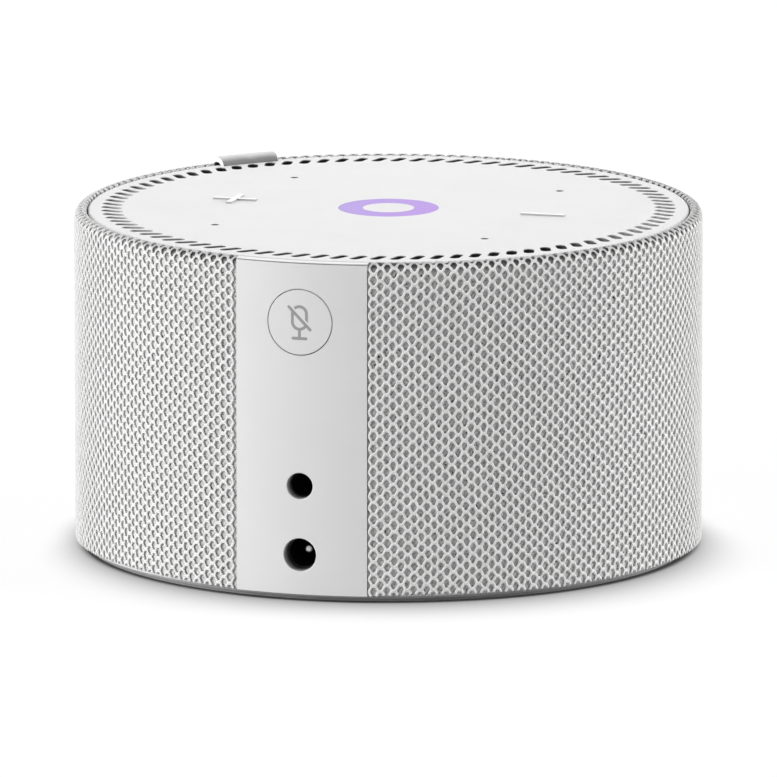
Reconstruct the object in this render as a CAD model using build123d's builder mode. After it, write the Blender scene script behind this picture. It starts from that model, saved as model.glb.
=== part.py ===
from build123d import *
import os
from math import cos, degrees, radians, sin, sqrt

# A round table-top speaker in a fabric sleeve, with its sockets on a panel at the rear.
# Millimetres, +Z up, origin on the table under the middle of the foot.
# The rear panel faces -Y. Distances named face, back, tip or end of the rear pieces
# are measured from the axis towards -Y.

# Whole object
body_diameter = 90.0
body_height = 48.4

# Clearances
fixed_fit = 0.1
shadow_gap = 0.2
panel_gap = 0.1
button_gap = 0.12
cover_gap = 0.15
screw_fit = 0.05
screw_hole_fit = 0.15

# Foot and base plate
foot_height = 0.5
foot_recess = 0.4
foot_margin = 0.6
tread_margin = 6.4
tread_width = 1.6
tread_depth = 0.25
base_thickness = 1.6
rib_height = 2.0
rib_thickness = 1.4
pad_height = 1.6
pad_radius = 3.4

# Body shell and fabric
fabric_thickness = 0.9
fabric_hem = 0.95
bead_height = 1.28
bead_inner = 0.5
rim_rise = 0.18
rim_width = 2.0
shell_wall = 2.0
boss_inset = 5.2
boss_count = 4
boss_start = 45.0
boss_radius = 2.75
boss_height = 12.0
boss_roof = 2.0
web_thickness = 2.0

# Rear panel
panel_width = 19.05
panel_wall = 2.0
panel_rise = 0.04
groove_drop = 0.1
groove_height = 0.12
groove_depth = 0.3
rail_thickness = 1.6
flange_reach = 3.0
flange_thickness = 1.4
standoff_radius = 2.5
standoff_hole_depth = 6.5

# Input board behind the panel
io_chamber_gap = 0.6
io_thickness = 1.6
io_margin = 3.0
io_base_gap = 0.5
io_top_gap = 0.6
io_screw_drop = 9.6
io_screw_pitch = 9.5

# Mute button and its switch
mute_drop = 8.54
button_radius = 4.64
button_edge_fillet = 0.06
collar_width = 0.7
collar_gap = 0.3
collar_thickness = 1.0
stem_radius = 1.6
switch_width = 6.0
switch_depth = 3.4
switch_well = 2.0
plunger_radius = 1.7
plunger_stand = 0.8
plunger_length = 2.0

# Sockets
socket_edge_fillet = 0.12
audio_height = 16.45
audio_hole_radius = 1.87
audio_bore_radius = 1.8
audio_back_wall = 0.7
power_height = 6.6
power_hole_radius = 2.35
power_bore_radius = 2.15
power_back_wall = 1.2
power_pin_radius = 0.82
power_pin_round = 0.5
power_pin_recess = 4.3
jack_width = 8.0
jack_corner = 0.6
contact_circle_radius = 3.0
contact_thickness = 0.4
contact_width = 1.6
contact_setback = 4.5
contact_tail = 0.5

# Screws
screw_radius = 1.2
screw_head_radius = 2.3
screw_head_height = 1.2
screw_seat_web = 1.4
base_screw_length = 10.0
chamber_screw_length = 5.6
small_screw_radius = 0.9
small_head_radius = 1.8
small_head_height = 1.0
speaker_screw_length = 7.0
io_screw_length = 7.0
top_screw_length = 3.6
recess_share = 0.6
recess_width = 0.5
recess_depth = 0.5

# Top cover
cover_thickness = 1.9
cover_edge_fillet = 0.35
skirt_thickness = 0.6
skirt_height = 3.0
slot_count = 90
slot_inset = 3.4
slot_length = 3.4
slot_width = 1.5
slot_slant = 30.0
mic_count = 4
mic_circle_radius = 28.15
mic_start = 45.0
mic_hole_radius = 0.62
key_radius = 22.9
mark_length = 6.4
mark_width = 0.85
mark_height = 0.28
top_boss_inset = 3.0
top_boss_count = 3
top_boss_start = 90.0
top_boss_radius = 2.4
top_pilot_rise = 0.8
cloth_thickness = 0.2
cloth_margin = 1.2

# Light ring in the cover
ring_outer = 7.15
ring_inner = 3.75
lens_fit = 0.05
lens_flange = 1.45
lens_base = 0.8
shroud_thickness = 1.0
led_count = 8
led_size = 1.6
led_height = 0.7

# Top board and what it carries
board_inset = 8.0
board_thickness = 1.2
board_gap = 2.1
mic_length = 3.5
mic_width = 2.65
mic_depth = 1.0
gasket_radius = 2.2
gasket_bore = 0.8
touch_radius = 3.4
connector_gap = 1.6
connector_length = 8.0
connector_width = 5.0
connector_depth = 4.6
connector_slot_depth = 4.1
processor_size = 12.0
processor_depth = 1.4
processor_y = 10.0
memory_x = 13.5
memory_length = 9.0
memory_width = 7.0
memory_depth = 1.0
can_length = 20.0
can_width = 13.0
can_depth = 2.2
can_wall = 0.3
can_y = -12.0

# Speaker chamber
chamber_margin = 0.5
chamber_wall = 1.8
chamber_floor = 1.6
chamber_height = 27.5
chamber_boss_height = 4.0
chamber_boss_radius = 2.4
chamber_boss_circle_radius = 20.0
chamber_boss_count = 3
chamber_boss_start = 90.0
chamber_hole_depth = 4.6
speaker_boss_gap = 0.2
speaker_boss_count = 4
speaker_boss_start = 45.0
speaker_boss_radius = 2.0
speaker_boss_height = 10.0
speaker_hole_depth = 8.0

# Loudspeaker
gasket_thickness = 0.6
speaker_margin = 2.4
speaker_flange = 1.2
basket_wall = 1.2
basket_depth = 13.0
basket_bore = 8.6
basket_window_width = 12.0
basket_window_height = 4.6
spider_radius = 18.6
spider_ledge = 2.2
spider_drop = 8.6
spider_thickness = 0.35
spider_wave = 0.55
spider_wave_count = 4
spider_land = 0.9
magnet_radius = 16.5
magnet_bore = 8.6
yoke_gap = 2.0
plate_radius = 15.5
plate_bore = 7.4
plate_thickness = 2.5
yoke_thickness = 2.5
pole_radius = 6.0
coil_inner = 6.3
former_thickness = 0.25
coil_thickness = 0.45
coil_height = 5.0
former_stand = 0.5
cone_lip_inner = 16.2
cone_lip = 1.2
cone_thickness = 0.6
cone_depth = 7.0
cap_radius = 8.6
cap_rise = 2.8
cap_thickness = 0.4
cap_seat = 0.12
roll_radius = 2.1
surround_thickness = 0.4
terminal_length = 2.6
terminal_width = 2.0
terminal_thickness = 0.6
terminal_spread = 4.4
header_width = 3.0
header_margin = 1.5
header_depth = 3.0
lead_radius = 0.6

# Pull tab
tab_angle = 135.1
tab_width = 9.8
tab_thickness = 0.8
tab_inset = 1.1
tab_span = 2.7
tab_rise = 0.72
tab_bend = 1.2

# Radii and heights that follow from the sizes above
fabric_radius = body_diameter / 2
skin_inner = fabric_radius - fabric_thickness
shell_radius = skin_inner - fixed_fit
shell_inner = shell_radius - shell_wall
cover_radius = fabric_radius - rim_width
rim_inner = cover_radius + cover_gap
bead_outer = fabric_radius - rim_inner - bead_inner
fabric_top = body_height + rim_rise
panel_top = body_height + panel_rise
fabric_fold = fabric_top - bead_height
rim_top = fabric_fold - fixed_fit
cover_seat = body_height - cover_thickness

foot_thickness = foot_height + foot_recess
foot_radius = shell_radius - foot_margin
base_top = foot_height + base_thickness
tread_radius = foot_radius - tread_margin
boss_circle = shell_inner - boss_inset
rib_radius = shell_inner - fixed_fit
pad_top = base_top + pad_height
screw_seat = pad_top - screw_seat_web

window_width = panel_width + 2 * panel_gap
mute_height = body_height - mute_drop
panel_window_top = mute_height + button_radius + collar_width + shadow_gap
panel_inner = fabric_radius - panel_wall
panel_low = base_top + fixed_fit
panel_high = panel_window_top - fixed_fit
flange_half = panel_width / 2 + flange_reach
flange_outer = sqrt((shell_inner - fixed_fit) ** 2 - flange_half ** 2)
flange_face = flange_outer - flange_thickness
rail_inner = panel_width / 2 - rail_thickness
rail_root = sqrt(((panel_inner + skin_inner) / 2) ** 2 - (panel_width / 2) ** 2)
panel_bay = 2 * (flange_half + fixed_fit)

roll_middle = cone_lip_inner + cone_lip + roll_radius - surround_thickness / 2
mouth_radius = roll_middle + roll_radius - surround_thickness / 2
speaker_boss_circle = mouth_radius + basket_wall + speaker_boss_gap + speaker_boss_radius
surround_outer = speaker_boss_circle - small_head_radius - fixed_fit
speaker_radius = speaker_boss_circle + speaker_margin
chamber_radius = speaker_radius + chamber_margin

board_radius = shell_inner - board_inset
board_top = cover_seat - board_gap
board_bottom = board_top - board_thickness
contact_back = chamber_radius + io_chamber_gap
io_back = contact_back + contact_tail
io_face = io_back + io_thickness
io_bottom = base_top + io_base_gap
io_top = board_bottom - io_top_gap
io_screw_high = io_top - io_screw_drop
io_screw_low = io_screw_high - io_screw_pitch
io_screw_x = (rail_inner + flange_half) / 2
io_half = io_screw_x + io_margin
jack_face = sqrt(panel_inner ** 2 - (jack_width / 2) ** 2) - fixed_fit
contact_front = jack_face - contact_setback
contact_pocket = contact_front + fixed_fit - io_face
slot_for_contact = contact_thickness + 2 * fixed_fit
slot_along_contact = contact_width + 2 * fixed_fit
power_pin_tip = fabric_radius - power_pin_recess
button_back = sqrt(panel_inner ** 2 - (button_radius + collar_width) ** 2) - collar_gap
switch_face = io_face + switch_depth
plunger_tip = switch_face + plunger_stand

skirt_radius = shell_inner - fixed_fit
cloth_outer = skirt_radius - skirt_thickness - fixed_fit
slot_circle = cover_radius - slot_inset
cloth_inner = slot_circle - slot_length / 2 - cloth_margin
top_boss_circle = board_radius - top_boss_inset
connector_start = switch_width / 2 + connector_gap
lens_radius = ring_outer + lens_flange
lens_bottom = cover_seat - lens_base
led_circle = (ring_outer + ring_inner) / 2

chamber_bottom = pad_top
chamber_top = chamber_bottom + chamber_height
speaker_seat = chamber_top + gasket_thickness
speaker_face = speaker_seat + speaker_flange
basket_floor = speaker_seat - basket_depth
spider_seat = speaker_face - spider_drop
ledge_inner = spider_radius - spider_ledge
plate_bottom = basket_floor - plate_thickness
yoke_bottom = chamber_bottom + chamber_floor + yoke_gap
magnet_bottom = yoke_bottom + yoke_thickness
magnet_thickness = plate_bottom - magnet_bottom
former_outer = coil_inner + former_thickness
coil_bottom = (basket_floor + plate_bottom) / 2 - coil_height / 2
cone_rim = speaker_face - cone_thickness
cone_neck = cone_rim - cone_depth
cone_neck_radius = former_outer + fixed_fit
former_top = cone_neck + cone_thickness + former_stand
cap_slope = cone_depth / (cone_lip_inner - cone_neck_radius)
cap_base = cone_neck + cone_thickness + (cap_radius - cone_neck_radius) * cap_slope + cap_seat
cap_top = cap_base + cap_rise
cap_under = cap_top - cap_thickness
cap_inner = cap_radius - 2 * cap_thickness
terminal_x = (surround_outer + speaker_radius) / 2
terminal_top = speaker_face + terminal_thickness
header_bottom = board_bottom - header_depth

tab_sweep = degrees(tab_width / fabric_radius)
tab_room = degrees(2 * fixed_fit / fabric_radius)
tab_inner = cover_radius - tab_inset
tab_outer = tab_inner + tab_span
notch_inner = tab_inner - tab_thickness / 2 - fixed_fit
notch_outer = tab_outer + tab_thickness / 2 + fixed_fit


def ring_points(radius, count, start):
    """Points evenly spaced on a circle, the first one at the start angle."""
    angles = [radians(start + 360 * i / count) for i in range(count)]
    return [(radius * cos(a), radius * sin(a)) for a in angles]


def radial_plane(angle):
    """Plane through the axis: its x runs outward at the angle, its y runs up."""
    a = radians(angle)
    return Plane((0, 0, 0), x_dir=(cos(a), sin(a), 0), z_dir=(sin(a), -cos(a), 0))


def make_screws(plane, points, shank, head, head_height, length):
    """Cross-head screws: heads behind the plane, shanks along its normal."""
    with BuildPart() as screws:
        with BuildSketch(plane):
            with Locations(*points):
                Circle(head)
        extrude(amount=-head_height)
        with BuildSketch(plane):
            with Locations(*points):
                Circle(shank)
        extrude(amount=length)
        with BuildSketch(plane.offset(-head_height)):
            with Locations(*points):
                Rectangle(2 * head * recess_share, recess_width)
                Rectangle(recess_width, 2 * head * recess_share)
        extrude(amount=recess_depth, mode=Mode.SUBTRACT)
    return screws


base_screw_points = ring_points(boss_circle, boss_count, boss_start)
chamber_screw_points = ring_points(chamber_boss_circle_radius, chamber_boss_count, chamber_boss_start)
speaker_screw_points = ring_points(speaker_boss_circle, speaker_boss_count, speaker_boss_start)
top_screw_points = ring_points(top_boss_circle, top_boss_count, top_boss_start)
io_screw_points = [(x, z) for x in (-io_screw_x, io_screw_x) for z in (io_screw_low, io_screw_high)]
mic_points = ring_points(mic_circle_radius, mic_count, mic_start)
key_points = ring_points(key_radius, 2, 180.0)
led_points = ring_points(led_circle, led_count, 0.0)

os.makedirs("parts", exist_ok=True)


# Foot: a rubber pad let into the base plate, with one round tread groove
with BuildPart() as base_foot:
    with BuildSketch():
        Circle(foot_radius)
    extrude(amount=foot_thickness)
    with BuildSketch():
        Circle(tread_radius + tread_width / 2)
        Circle(tread_radius - tread_width / 2, mode=Mode.SUBTRACT)
    extrude(amount=tread_depth, mode=Mode.SUBTRACT)
base_foot.part.label = "base_foot"
export_step(base_foot.part, "parts/base_foot.step")


# Base plate: closes the shell, carries the speaker chamber on pads
with BuildPart() as base_plate:
    with BuildSketch(Plane.XY.offset(foot_height)):
        Circle(shell_radius)
    extrude(amount=base_thickness)
    with BuildSketch(Plane.XY.offset(base_top)):
        Circle(rib_radius)
        Circle(rib_radius - rib_thickness, mode=Mode.SUBTRACT)
        with PolarLocations(rib_radius, boss_count, boss_start):
            Rectangle(4 * rib_thickness, 2 * boss_radius, mode=Mode.SUBTRACT)
        Rectangle(panel_bay, rib_radius, align=(Align.CENTER, Align.MAX), mode=Mode.SUBTRACT)
    extrude(amount=rib_height)
    with BuildSketch(Plane.XY.offset(base_top)):
        with Locations(*base_screw_points, *chamber_screw_points):
            Circle(pad_radius)
    extrude(amount=pad_height)
    with BuildSketch(Plane.XY.offset(foot_height)):
        Circle(foot_radius + fixed_fit)
    extrude(amount=foot_recess, mode=Mode.SUBTRACT)
    with BuildSketch(Plane.XY.offset(foot_height)):
        with Locations(*base_screw_points, *chamber_screw_points):
            Circle(screw_head_radius + screw_hole_fit)
    extrude(amount=screw_seat - foot_height, mode=Mode.SUBTRACT)
    with BuildSketch(Plane.XY.offset(screw_seat)):
        with Locations(*base_screw_points, *chamber_screw_points):
            Circle(screw_radius + screw_hole_fit)
    extrude(amount=screw_seat_web, mode=Mode.SUBTRACT)
base_plate.part.label = "base_plate"
export_step(base_plate.part, "parts/base_plate.step")

base_screws = make_screws(
    Plane.XY.offset(screw_seat), base_screw_points,
    screw_radius, screw_head_radius, screw_head_height, base_screw_length)
base_screws.part.label = "base_screws"
export_step(base_screws.part, "parts/base_screws.step")

chamber_screws = make_screws(
    Plane.XY.offset(screw_seat), chamber_screw_points,
    screw_radius, screw_head_radius, screw_head_height, chamber_screw_length)
chamber_screws.part.label = "chamber_screws"
export_step(chamber_screws.part, "parts/chamber_screws.step")


# Body shell: a tube with a seat for the cover, screw bosses and a window for the rear panel
with BuildPart() as body_shell:
    with BuildSketch(Plane.XZ):
        with BuildLine():
            Polyline(
                (shell_inner, base_top), (shell_radius, base_top), (shell_radius, rim_top),
                (rim_inner, rim_top), (rim_inner, cover_seat), (shell_inner, cover_seat),
                close=True)
        make_face()
    revolve(axis=Axis.Z)
    web_end = (shell_inner + shell_radius) / 2
    with BuildSketch(Plane.XY.offset(pad_top)):
        with Locations(*base_screw_points):
            Circle(boss_radius)
        with PolarLocations((boss_circle + web_end) / 2, boss_count, boss_start):
            Rectangle(web_end - boss_circle, web_thickness)
    extrude(amount=boss_height)
    with BuildSketch(Plane.XY.offset(pad_top)):
        with Locations(*base_screw_points):
            Circle(screw_radius + screw_fit)
    extrude(amount=boss_height - boss_roof, mode=Mode.SUBTRACT)
    with BuildSketch(Plane.XY.offset(base_top)):
        Rectangle(window_width, shell_radius, align=(Align.CENTER, Align.MAX))
    extrude(amount=panel_window_top - base_top, mode=Mode.SUBTRACT)
body_shell.part.label = "body_shell"
export_step(body_shell.part, "parts/body_shell.step")


# Fabric sleeve: rolled into a bead on the rim, open at the panel and let in under the tab
with BuildPart() as fabric_sleeve:
    with BuildSketch(Plane.XZ):
        with BuildLine():
            Polyline(
                (rim_inner, fabric_top - bead_inner), (rim_inner, fabric_fold), (skin_inner, fabric_fold),
                (skin_inner, fabric_hem), (fabric_radius, fabric_hem),
                (fabric_radius, fabric_top - bead_outer))
            CenterArc((fabric_radius - bead_outer, fabric_top - bead_outer), bead_outer, 0, 90)
            CenterArc((rim_inner + bead_inner, fabric_top - bead_inner), bead_inner, 90, 90)
        make_face()
    revolve(axis=Axis.Z)
    with BuildSketch():
        Rectangle(window_width, fabric_radius, align=(Align.CENTER, Align.MAX))
    extrude(amount=fabric_top + bead_height, mode=Mode.SUBTRACT)
    with BuildSketch(radial_plane(tab_angle - tab_sweep / 2 - tab_room)):
        with Locations((notch_inner, rim_top)):
            Rectangle(notch_outer - notch_inner, 2 * bead_height, align=(Align.MIN, Align.MIN))
    revolve(axis=Axis.Z, revolution_arc=tab_sweep + 2 * tab_room, mode=Mode.SUBTRACT)
fabric_sleeve.part.label = "fabric_sleeve"
export_step(fabric_sleeve.part, "parts/fabric_sleeve.step")


# Pull tab: a soft strip bent over the rim, one end in the cover's notch, one in the fabric's bead
with BuildPart() as pull_tab:
    with BuildSketch(radial_plane(tab_angle - tab_sweep / 2)):
        with BuildLine():
            FilletPolyline(
                (tab_inner, cover_seat + fixed_fit), (tab_inner, body_height + tab_rise),
                (tab_outer, body_height + tab_rise), (tab_outer, fabric_fold), radius=tab_bend)
        trace(line_width=tab_thickness)
    revolve(axis=Axis.Z, revolution_arc=tab_sweep)
pull_tab.part.label = "pull_tab"
export_step(pull_tab.part, "parts/pull_tab.step")


# Rear panel: curved wall with a return over the rim, side rails, flanges and board standoffs
with BuildPart() as rear_panel:
    with BuildSketch(Plane.XZ):
        with BuildLine():
            Polyline(
                (rim_inner, panel_top), (rim_inner, fabric_fold), (skin_inner, fabric_fold),
                (skin_inner, panel_high), (panel_inner, panel_high), (panel_inner, panel_low),
                (skin_inner, panel_low), (skin_inner, fabric_hem), (fabric_radius, fabric_hem),
                (fabric_radius, panel_top), close=True)
        make_face()
        groove_top = panel_top - groove_drop
        with Locations((fabric_radius, groove_top)):
            Rectangle(2 * groove_depth, groove_height, align=(Align.CENTER, Align.MAX), mode=Mode.SUBTRACT)
    revolve(axis=Axis.Z)
    with BuildSketch():
        Rectangle(panel_width, fabric_radius, align=(Align.CENTER, Align.MAX))
    extrude(amount=fabric_top + bead_height, mode=Mode.INTERSECT)
    with BuildSketch(Plane.XZ.offset(flange_face)):
        with Locations((0, (panel_low + panel_high) / 2)):
            Rectangle(2 * flange_half, panel_high - panel_low)
            Rectangle(2 * rail_inner, panel_high - panel_low, mode=Mode.SUBTRACT)
    extrude(amount=flange_thickness)
    with BuildSketch(Plane.XZ.offset(flange_face)):
        with Locations((0, (panel_low + panel_high) / 2)):
            Rectangle(panel_width, panel_high - panel_low)
            Rectangle(2 * rail_inner, panel_high - panel_low, mode=Mode.SUBTRACT)
    extrude(amount=rail_root - flange_face)
    with BuildSketch(Plane.XZ.offset(io_face)):
        with Locations(*io_screw_points):
            Circle(standoff_radius)
    extrude(amount=flange_outer - io_face)
    with BuildSketch(Plane.XZ.offset(io_face)):
        with Locations(*io_screw_points):
            Circle(small_screw_radius + screw_fit)
    extrude(amount=standoff_hole_depth, mode=Mode.SUBTRACT)
    with BuildSketch(Plane.XZ.offset(flange_face)):
        with Locations((0, mute_height)):
            Circle(button_radius + button_gap)
        with Locations((0, audio_height)):
            Circle(audio_hole_radius)
        with Locations((0, power_height)):
            Circle(power_hole_radius)
    extrude(amount=2 * (fabric_radius - flange_face), mode=Mode.SUBTRACT)
    panel_skin = rear_panel.faces().filter_by(GeomType.CYLINDER).sort_by(SortBy.AREA)[-1]
    socket_rims = panel_skin.inner_wires().sort_by(Axis.Z)[:2]
    fillet([rim.edges() for rim in socket_rims], socket_edge_fillet)
rear_panel.part.label = "rear_panel"
export_step(rear_panel.part, "parts/rear_panel.step")


# Mute button: a round cap that follows the panel's curve, with a collar and a stem behind
with BuildPart() as mute_button:
    with BuildSketch(Plane.XZ.offset(button_back)):
        with Locations((0, mute_height)):
            Circle(button_radius)
    extrude(amount=2 * (fabric_radius - button_back))
    with BuildSketch():
        Circle(fabric_radius)
    extrude(amount=body_height, mode=Mode.INTERSECT)
    fillet(mute_button.faces().sort_by(Axis.Y)[0].edges(), button_edge_fillet)
    with BuildSketch(Plane.XZ.offset(button_back)):
        with Locations((0, mute_height)):
            Circle(button_radius + collar_width)
    extrude(amount=-collar_thickness)
    with BuildSketch(Plane.XZ.offset(plunger_tip)):
        with Locations((0, mute_height)):
            Circle(stem_radius)
    extrude(amount=button_back - plunger_tip)
mute_button.part.label = "mute_button"
export_step(mute_button.part, "parts/mute_button.step")

with BuildPart() as mute_switch:
    with BuildSketch(Plane.XZ.offset(io_face)):
        with Locations((0, mute_height)):
            Rectangle(switch_width, switch_width)
    extrude(amount=switch_depth)
    with BuildSketch(Plane.XZ.offset(switch_face)):
        with Locations((0, mute_height)):
            Circle(plunger_radius + shadow_gap)
    extrude(amount=-switch_well, mode=Mode.SUBTRACT)
mute_switch.part.label = "mute_switch"
export_step(mute_switch.part, "parts/mute_switch.step")

with BuildPart() as mute_switch_plunger:
    with BuildSketch(Plane.XZ.offset(plunger_tip)):
        with Locations((0, mute_height)):
            Circle(plunger_radius)
    extrude(amount=-plunger_length)
mute_switch_plunger.part.label = "mute_switch_plunger"
export_step(mute_switch_plunger.part, "parts/mute_switch_plunger.step")


# Audio socket: moulded housing with a blind bore, three contact strips beside it
with BuildPart() as audio_jack:
    with BuildSketch(Plane.XZ.offset(io_face)):
        with Locations((0, audio_height)):
            RectangleRounded(jack_width, jack_width, jack_corner)
    extrude(amount=jack_face - io_face)
    with BuildSketch(Plane.XZ.offset(jack_face)):
        with Locations((0, audio_height)):
            Circle(audio_bore_radius)
    extrude(amount=io_face + audio_back_wall - jack_face, mode=Mode.SUBTRACT)
    with BuildSketch(Plane.XZ.offset(io_face)):
        with Locations((0, audio_height)):
            with PolarLocations(contact_circle_radius, 3, 0, 270):
                Rectangle(slot_for_contact, slot_along_contact)
    extrude(amount=contact_pocket, mode=Mode.SUBTRACT)
audio_jack.part.label = "audio_jack"
export_step(audio_jack.part, "parts/audio_jack.step")

with BuildPart() as audio_jack_contacts:
    with BuildSketch(Plane.XZ.offset(contact_back)):
        with Locations((0, audio_height)):
            with PolarLocations(contact_circle_radius, 3, 0, 270):
                Rectangle(contact_thickness, contact_width)
    extrude(amount=contact_front - contact_back)
audio_jack_contacts.part.label = "audio_jack_contacts"
export_step(audio_jack_contacts.part, "parts/audio_jack_contacts.step")


# Power socket: housing, round centre pin and a pair of sleeve contacts
with BuildPart() as power_jack:
    with BuildSketch(Plane.XZ.offset(io_face)):
        with Locations((0, power_height)):
            RectangleRounded(jack_width, jack_width, jack_corner)
    extrude(amount=jack_face - io_face)
    with BuildSketch(Plane.XZ.offset(jack_face)):
        with Locations((0, power_height)):
            Circle(power_bore_radius)
    extrude(amount=io_face + power_back_wall - jack_face, mode=Mode.SUBTRACT)
    with BuildSketch(Plane.XZ.offset(io_face)):
        with Locations((0, power_height)):
            Circle(power_pin_radius + screw_fit)
    extrude(amount=power_back_wall, mode=Mode.SUBTRACT)
    with BuildSketch(Plane.XZ.offset(io_face)):
        with Locations((0, power_height)):
            with PolarLocations(contact_circle_radius, 2):
                Rectangle(slot_for_contact, slot_along_contact)
    extrude(amount=contact_pocket, mode=Mode.SUBTRACT)
power_jack.part.label = "power_jack"
export_step(power_jack.part, "parts/power_jack.step")

with BuildPart() as power_jack_pin:
    with BuildSketch(Plane.XZ.offset(contact_back)):
        with Locations((0, power_height)):
            Circle(power_pin_radius)
    extrude(amount=power_pin_tip - contact_back)
    fillet(power_jack_pin.edges().group_by(Axis.Y)[0], power_pin_round)
power_jack_pin.part.label = "power_jack_pin"
export_step(power_jack_pin.part, "parts/power_jack_pin.step")

with BuildPart() as power_jack_contacts:
    with BuildSketch(Plane.XZ.offset(contact_back)):
        with Locations((0, power_height)):
            with PolarLocations(contact_circle_radius, 2):
                Rectangle(contact_thickness, contact_width)
    extrude(amount=contact_front - contact_back)
power_jack_contacts.part.label = "power_jack_contacts"
export_step(power_jack_contacts.part, "parts/power_jack_contacts.step")


# Input board: stands behind the panel and carries the sockets and the switch
with BuildPart() as io_board:
    with BuildSketch(Plane.XZ.offset(io_back)):
        with Locations((0, (io_bottom + io_top) / 2)):
            Rectangle(2 * io_half, io_top - io_bottom)
        with Locations(*io_screw_points):
            Circle(small_screw_radius + screw_hole_fit, mode=Mode.SUBTRACT)
        with Locations((0, audio_height)):
            with PolarLocations(contact_circle_radius, 3, 0, 270):
                Rectangle(slot_for_contact, slot_along_contact, mode=Mode.SUBTRACT)
        with Locations((0, power_height)):
            Circle(power_pin_radius + screw_fit, mode=Mode.SUBTRACT)
            with PolarLocations(contact_circle_radius, 2):
                Rectangle(slot_for_contact, slot_along_contact, mode=Mode.SUBTRACT)
    extrude(amount=io_thickness)
io_board.part.label = "io_board"
export_step(io_board.part, "parts/io_board.step")

io_board_screws = make_screws(
    Plane.XZ.offset(io_back), io_screw_points,
    small_screw_radius, small_head_radius, small_head_height, io_screw_length)
io_board_screws.part.label = "io_board_screws"
export_step(io_board_screws.part, "parts/io_board_screws.step")


# Top cover: slotted disc with raised marks, clip skirt and board bosses
with BuildPart() as top_cover:
    with BuildSketch(Plane.XY.offset(cover_seat)):
        Circle(cover_radius)
    extrude(amount=cover_thickness)
    fillet(top_cover.edges().group_by(Axis.Z)[-1], cover_edge_fillet)
    with BuildSketch(Plane.XY.offset(cover_seat)):
        Circle(skirt_radius)
        Circle(skirt_radius - skirt_thickness, mode=Mode.SUBTRACT)
        Rectangle(panel_bay, skirt_radius, align=(Align.CENTER, Align.MAX), mode=Mode.SUBTRACT)
    extrude(amount=-skirt_height)
    with BuildSketch(Plane.XY.offset(cover_seat)):
        with Locations(*top_screw_points):
            Circle(top_boss_radius)
    extrude(amount=-board_gap)
    with BuildSketch(Plane.XY.offset(board_top)):
        with Locations(*top_screw_points):
            Circle(small_screw_radius + screw_fit)
    extrude(amount=board_gap + top_pilot_rise, mode=Mode.SUBTRACT)
    with BuildSketch(Plane.XY.offset(cover_seat)):
        Circle(ring_outer + lens_fit)
        with Locations(*mic_points):
            Circle(mic_hole_radius)
        with PolarLocations(slot_circle, slot_count):
            SlotOverall(slot_length, slot_width, rotation=-slot_slant)
    extrude(amount=cover_thickness, mode=Mode.SUBTRACT)
    with BuildSketch(radial_plane(tab_angle - tab_sweep / 2 - tab_room)):
        with Locations((notch_inner, cover_seat)):
            Rectangle(rim_inner - notch_inner, cover_thickness, align=(Align.MIN, Align.MIN))
    revolve(axis=Axis.Z, revolution_arc=tab_sweep + 2 * tab_room, mode=Mode.SUBTRACT)
    with BuildSketch(Plane.XY.offset(body_height)):
        with Locations(*key_points):
            Rectangle(mark_length, mark_width)
        with Locations(key_points[0]):
            Rectangle(mark_width, mark_length)
    extrude(amount=mark_height)
top_cover.part.label = "top_cover"
export_step(top_cover.part, "parts/top_cover.step")

with BuildPart() as slot_cloth:
    with BuildSketch(Plane.XY.offset(cover_seat)):
        Circle(cloth_outer)
        Circle(cloth_inner, mode=Mode.SUBTRACT)
    extrude(amount=-cloth_thickness)
slot_cloth.part.label = "slot_cloth"
export_step(slot_cloth.part, "parts/slot_cloth.step")


# Light ring: translucent lens held under the cover, a cap in its middle, emitters below
with BuildPart() as light_lens:
    with BuildSketch(Plane.XY.offset(lens_bottom)):
        Circle(lens_radius)
    extrude(amount=lens_base)
    with BuildSketch(Plane.XY.offset(cover_seat)):
        Circle(ring_outer)
        Circle(ring_inner, mode=Mode.SUBTRACT)
    extrude(amount=cover_thickness)
light_lens.part.label = "light_lens"
export_step(light_lens.part, "parts/light_lens.step")

with BuildPart() as centre_cap:
    with BuildSketch(Plane.XY.offset(cover_seat)):
        Circle(ring_inner - lens_fit)
    extrude(amount=cover_thickness)
centre_cap.part.label = "centre_cap"
export_step(centre_cap.part, "parts/centre_cap.step")

with BuildPart() as light_shroud:
    with BuildSketch(Plane.XY.offset(board_top)):
        Circle(lens_radius)
        Circle(lens_radius - shroud_thickness, mode=Mode.SUBTRACT)
    extrude(amount=lens_bottom - board_top)
light_shroud.part.label = "light_shroud"
export_step(light_shroud.part, "parts/light_shroud.step")

with BuildPart() as light_emitters:
    with BuildSketch(Plane.XY.offset(board_top)):
        with Locations(*led_points):
            Rectangle(led_size, led_size)
    extrude(amount=led_height)
light_emitters.part.label = "light_emitters"
export_step(light_emitters.part, "parts/light_emitters.step")


# Top board: round circuit board screwed under the cover
with BuildPart() as top_board:
    with BuildSketch(Plane.XY.offset(board_bottom)):
        Circle(board_radius)
        with Locations(*top_screw_points):
            Circle(small_screw_radius + screw_hole_fit, mode=Mode.SUBTRACT)
        with Locations(*mic_points):
            Circle(mic_hole_radius, mode=Mode.SUBTRACT)
    extrude(amount=board_thickness)
top_board.part.label = "top_board"
export_step(top_board.part, "parts/top_board.step")

top_board_screws = make_screws(
    Plane.XY.offset(board_bottom), top_screw_points,
    small_screw_radius, small_head_radius, small_head_height, top_screw_length)
top_board_screws.part.label = "top_board_screws"
export_step(top_board_screws.part, "parts/top_board_screws.step")

with BuildPart() as microphones:
    with BuildSketch(Plane.XY.offset(board_bottom)):
        with Locations(*mic_points):
            Rectangle(mic_length, mic_width)
    extrude(amount=-mic_depth)
microphones.part.label = "microphones"
export_step(microphones.part, "parts/microphones.step")

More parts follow.
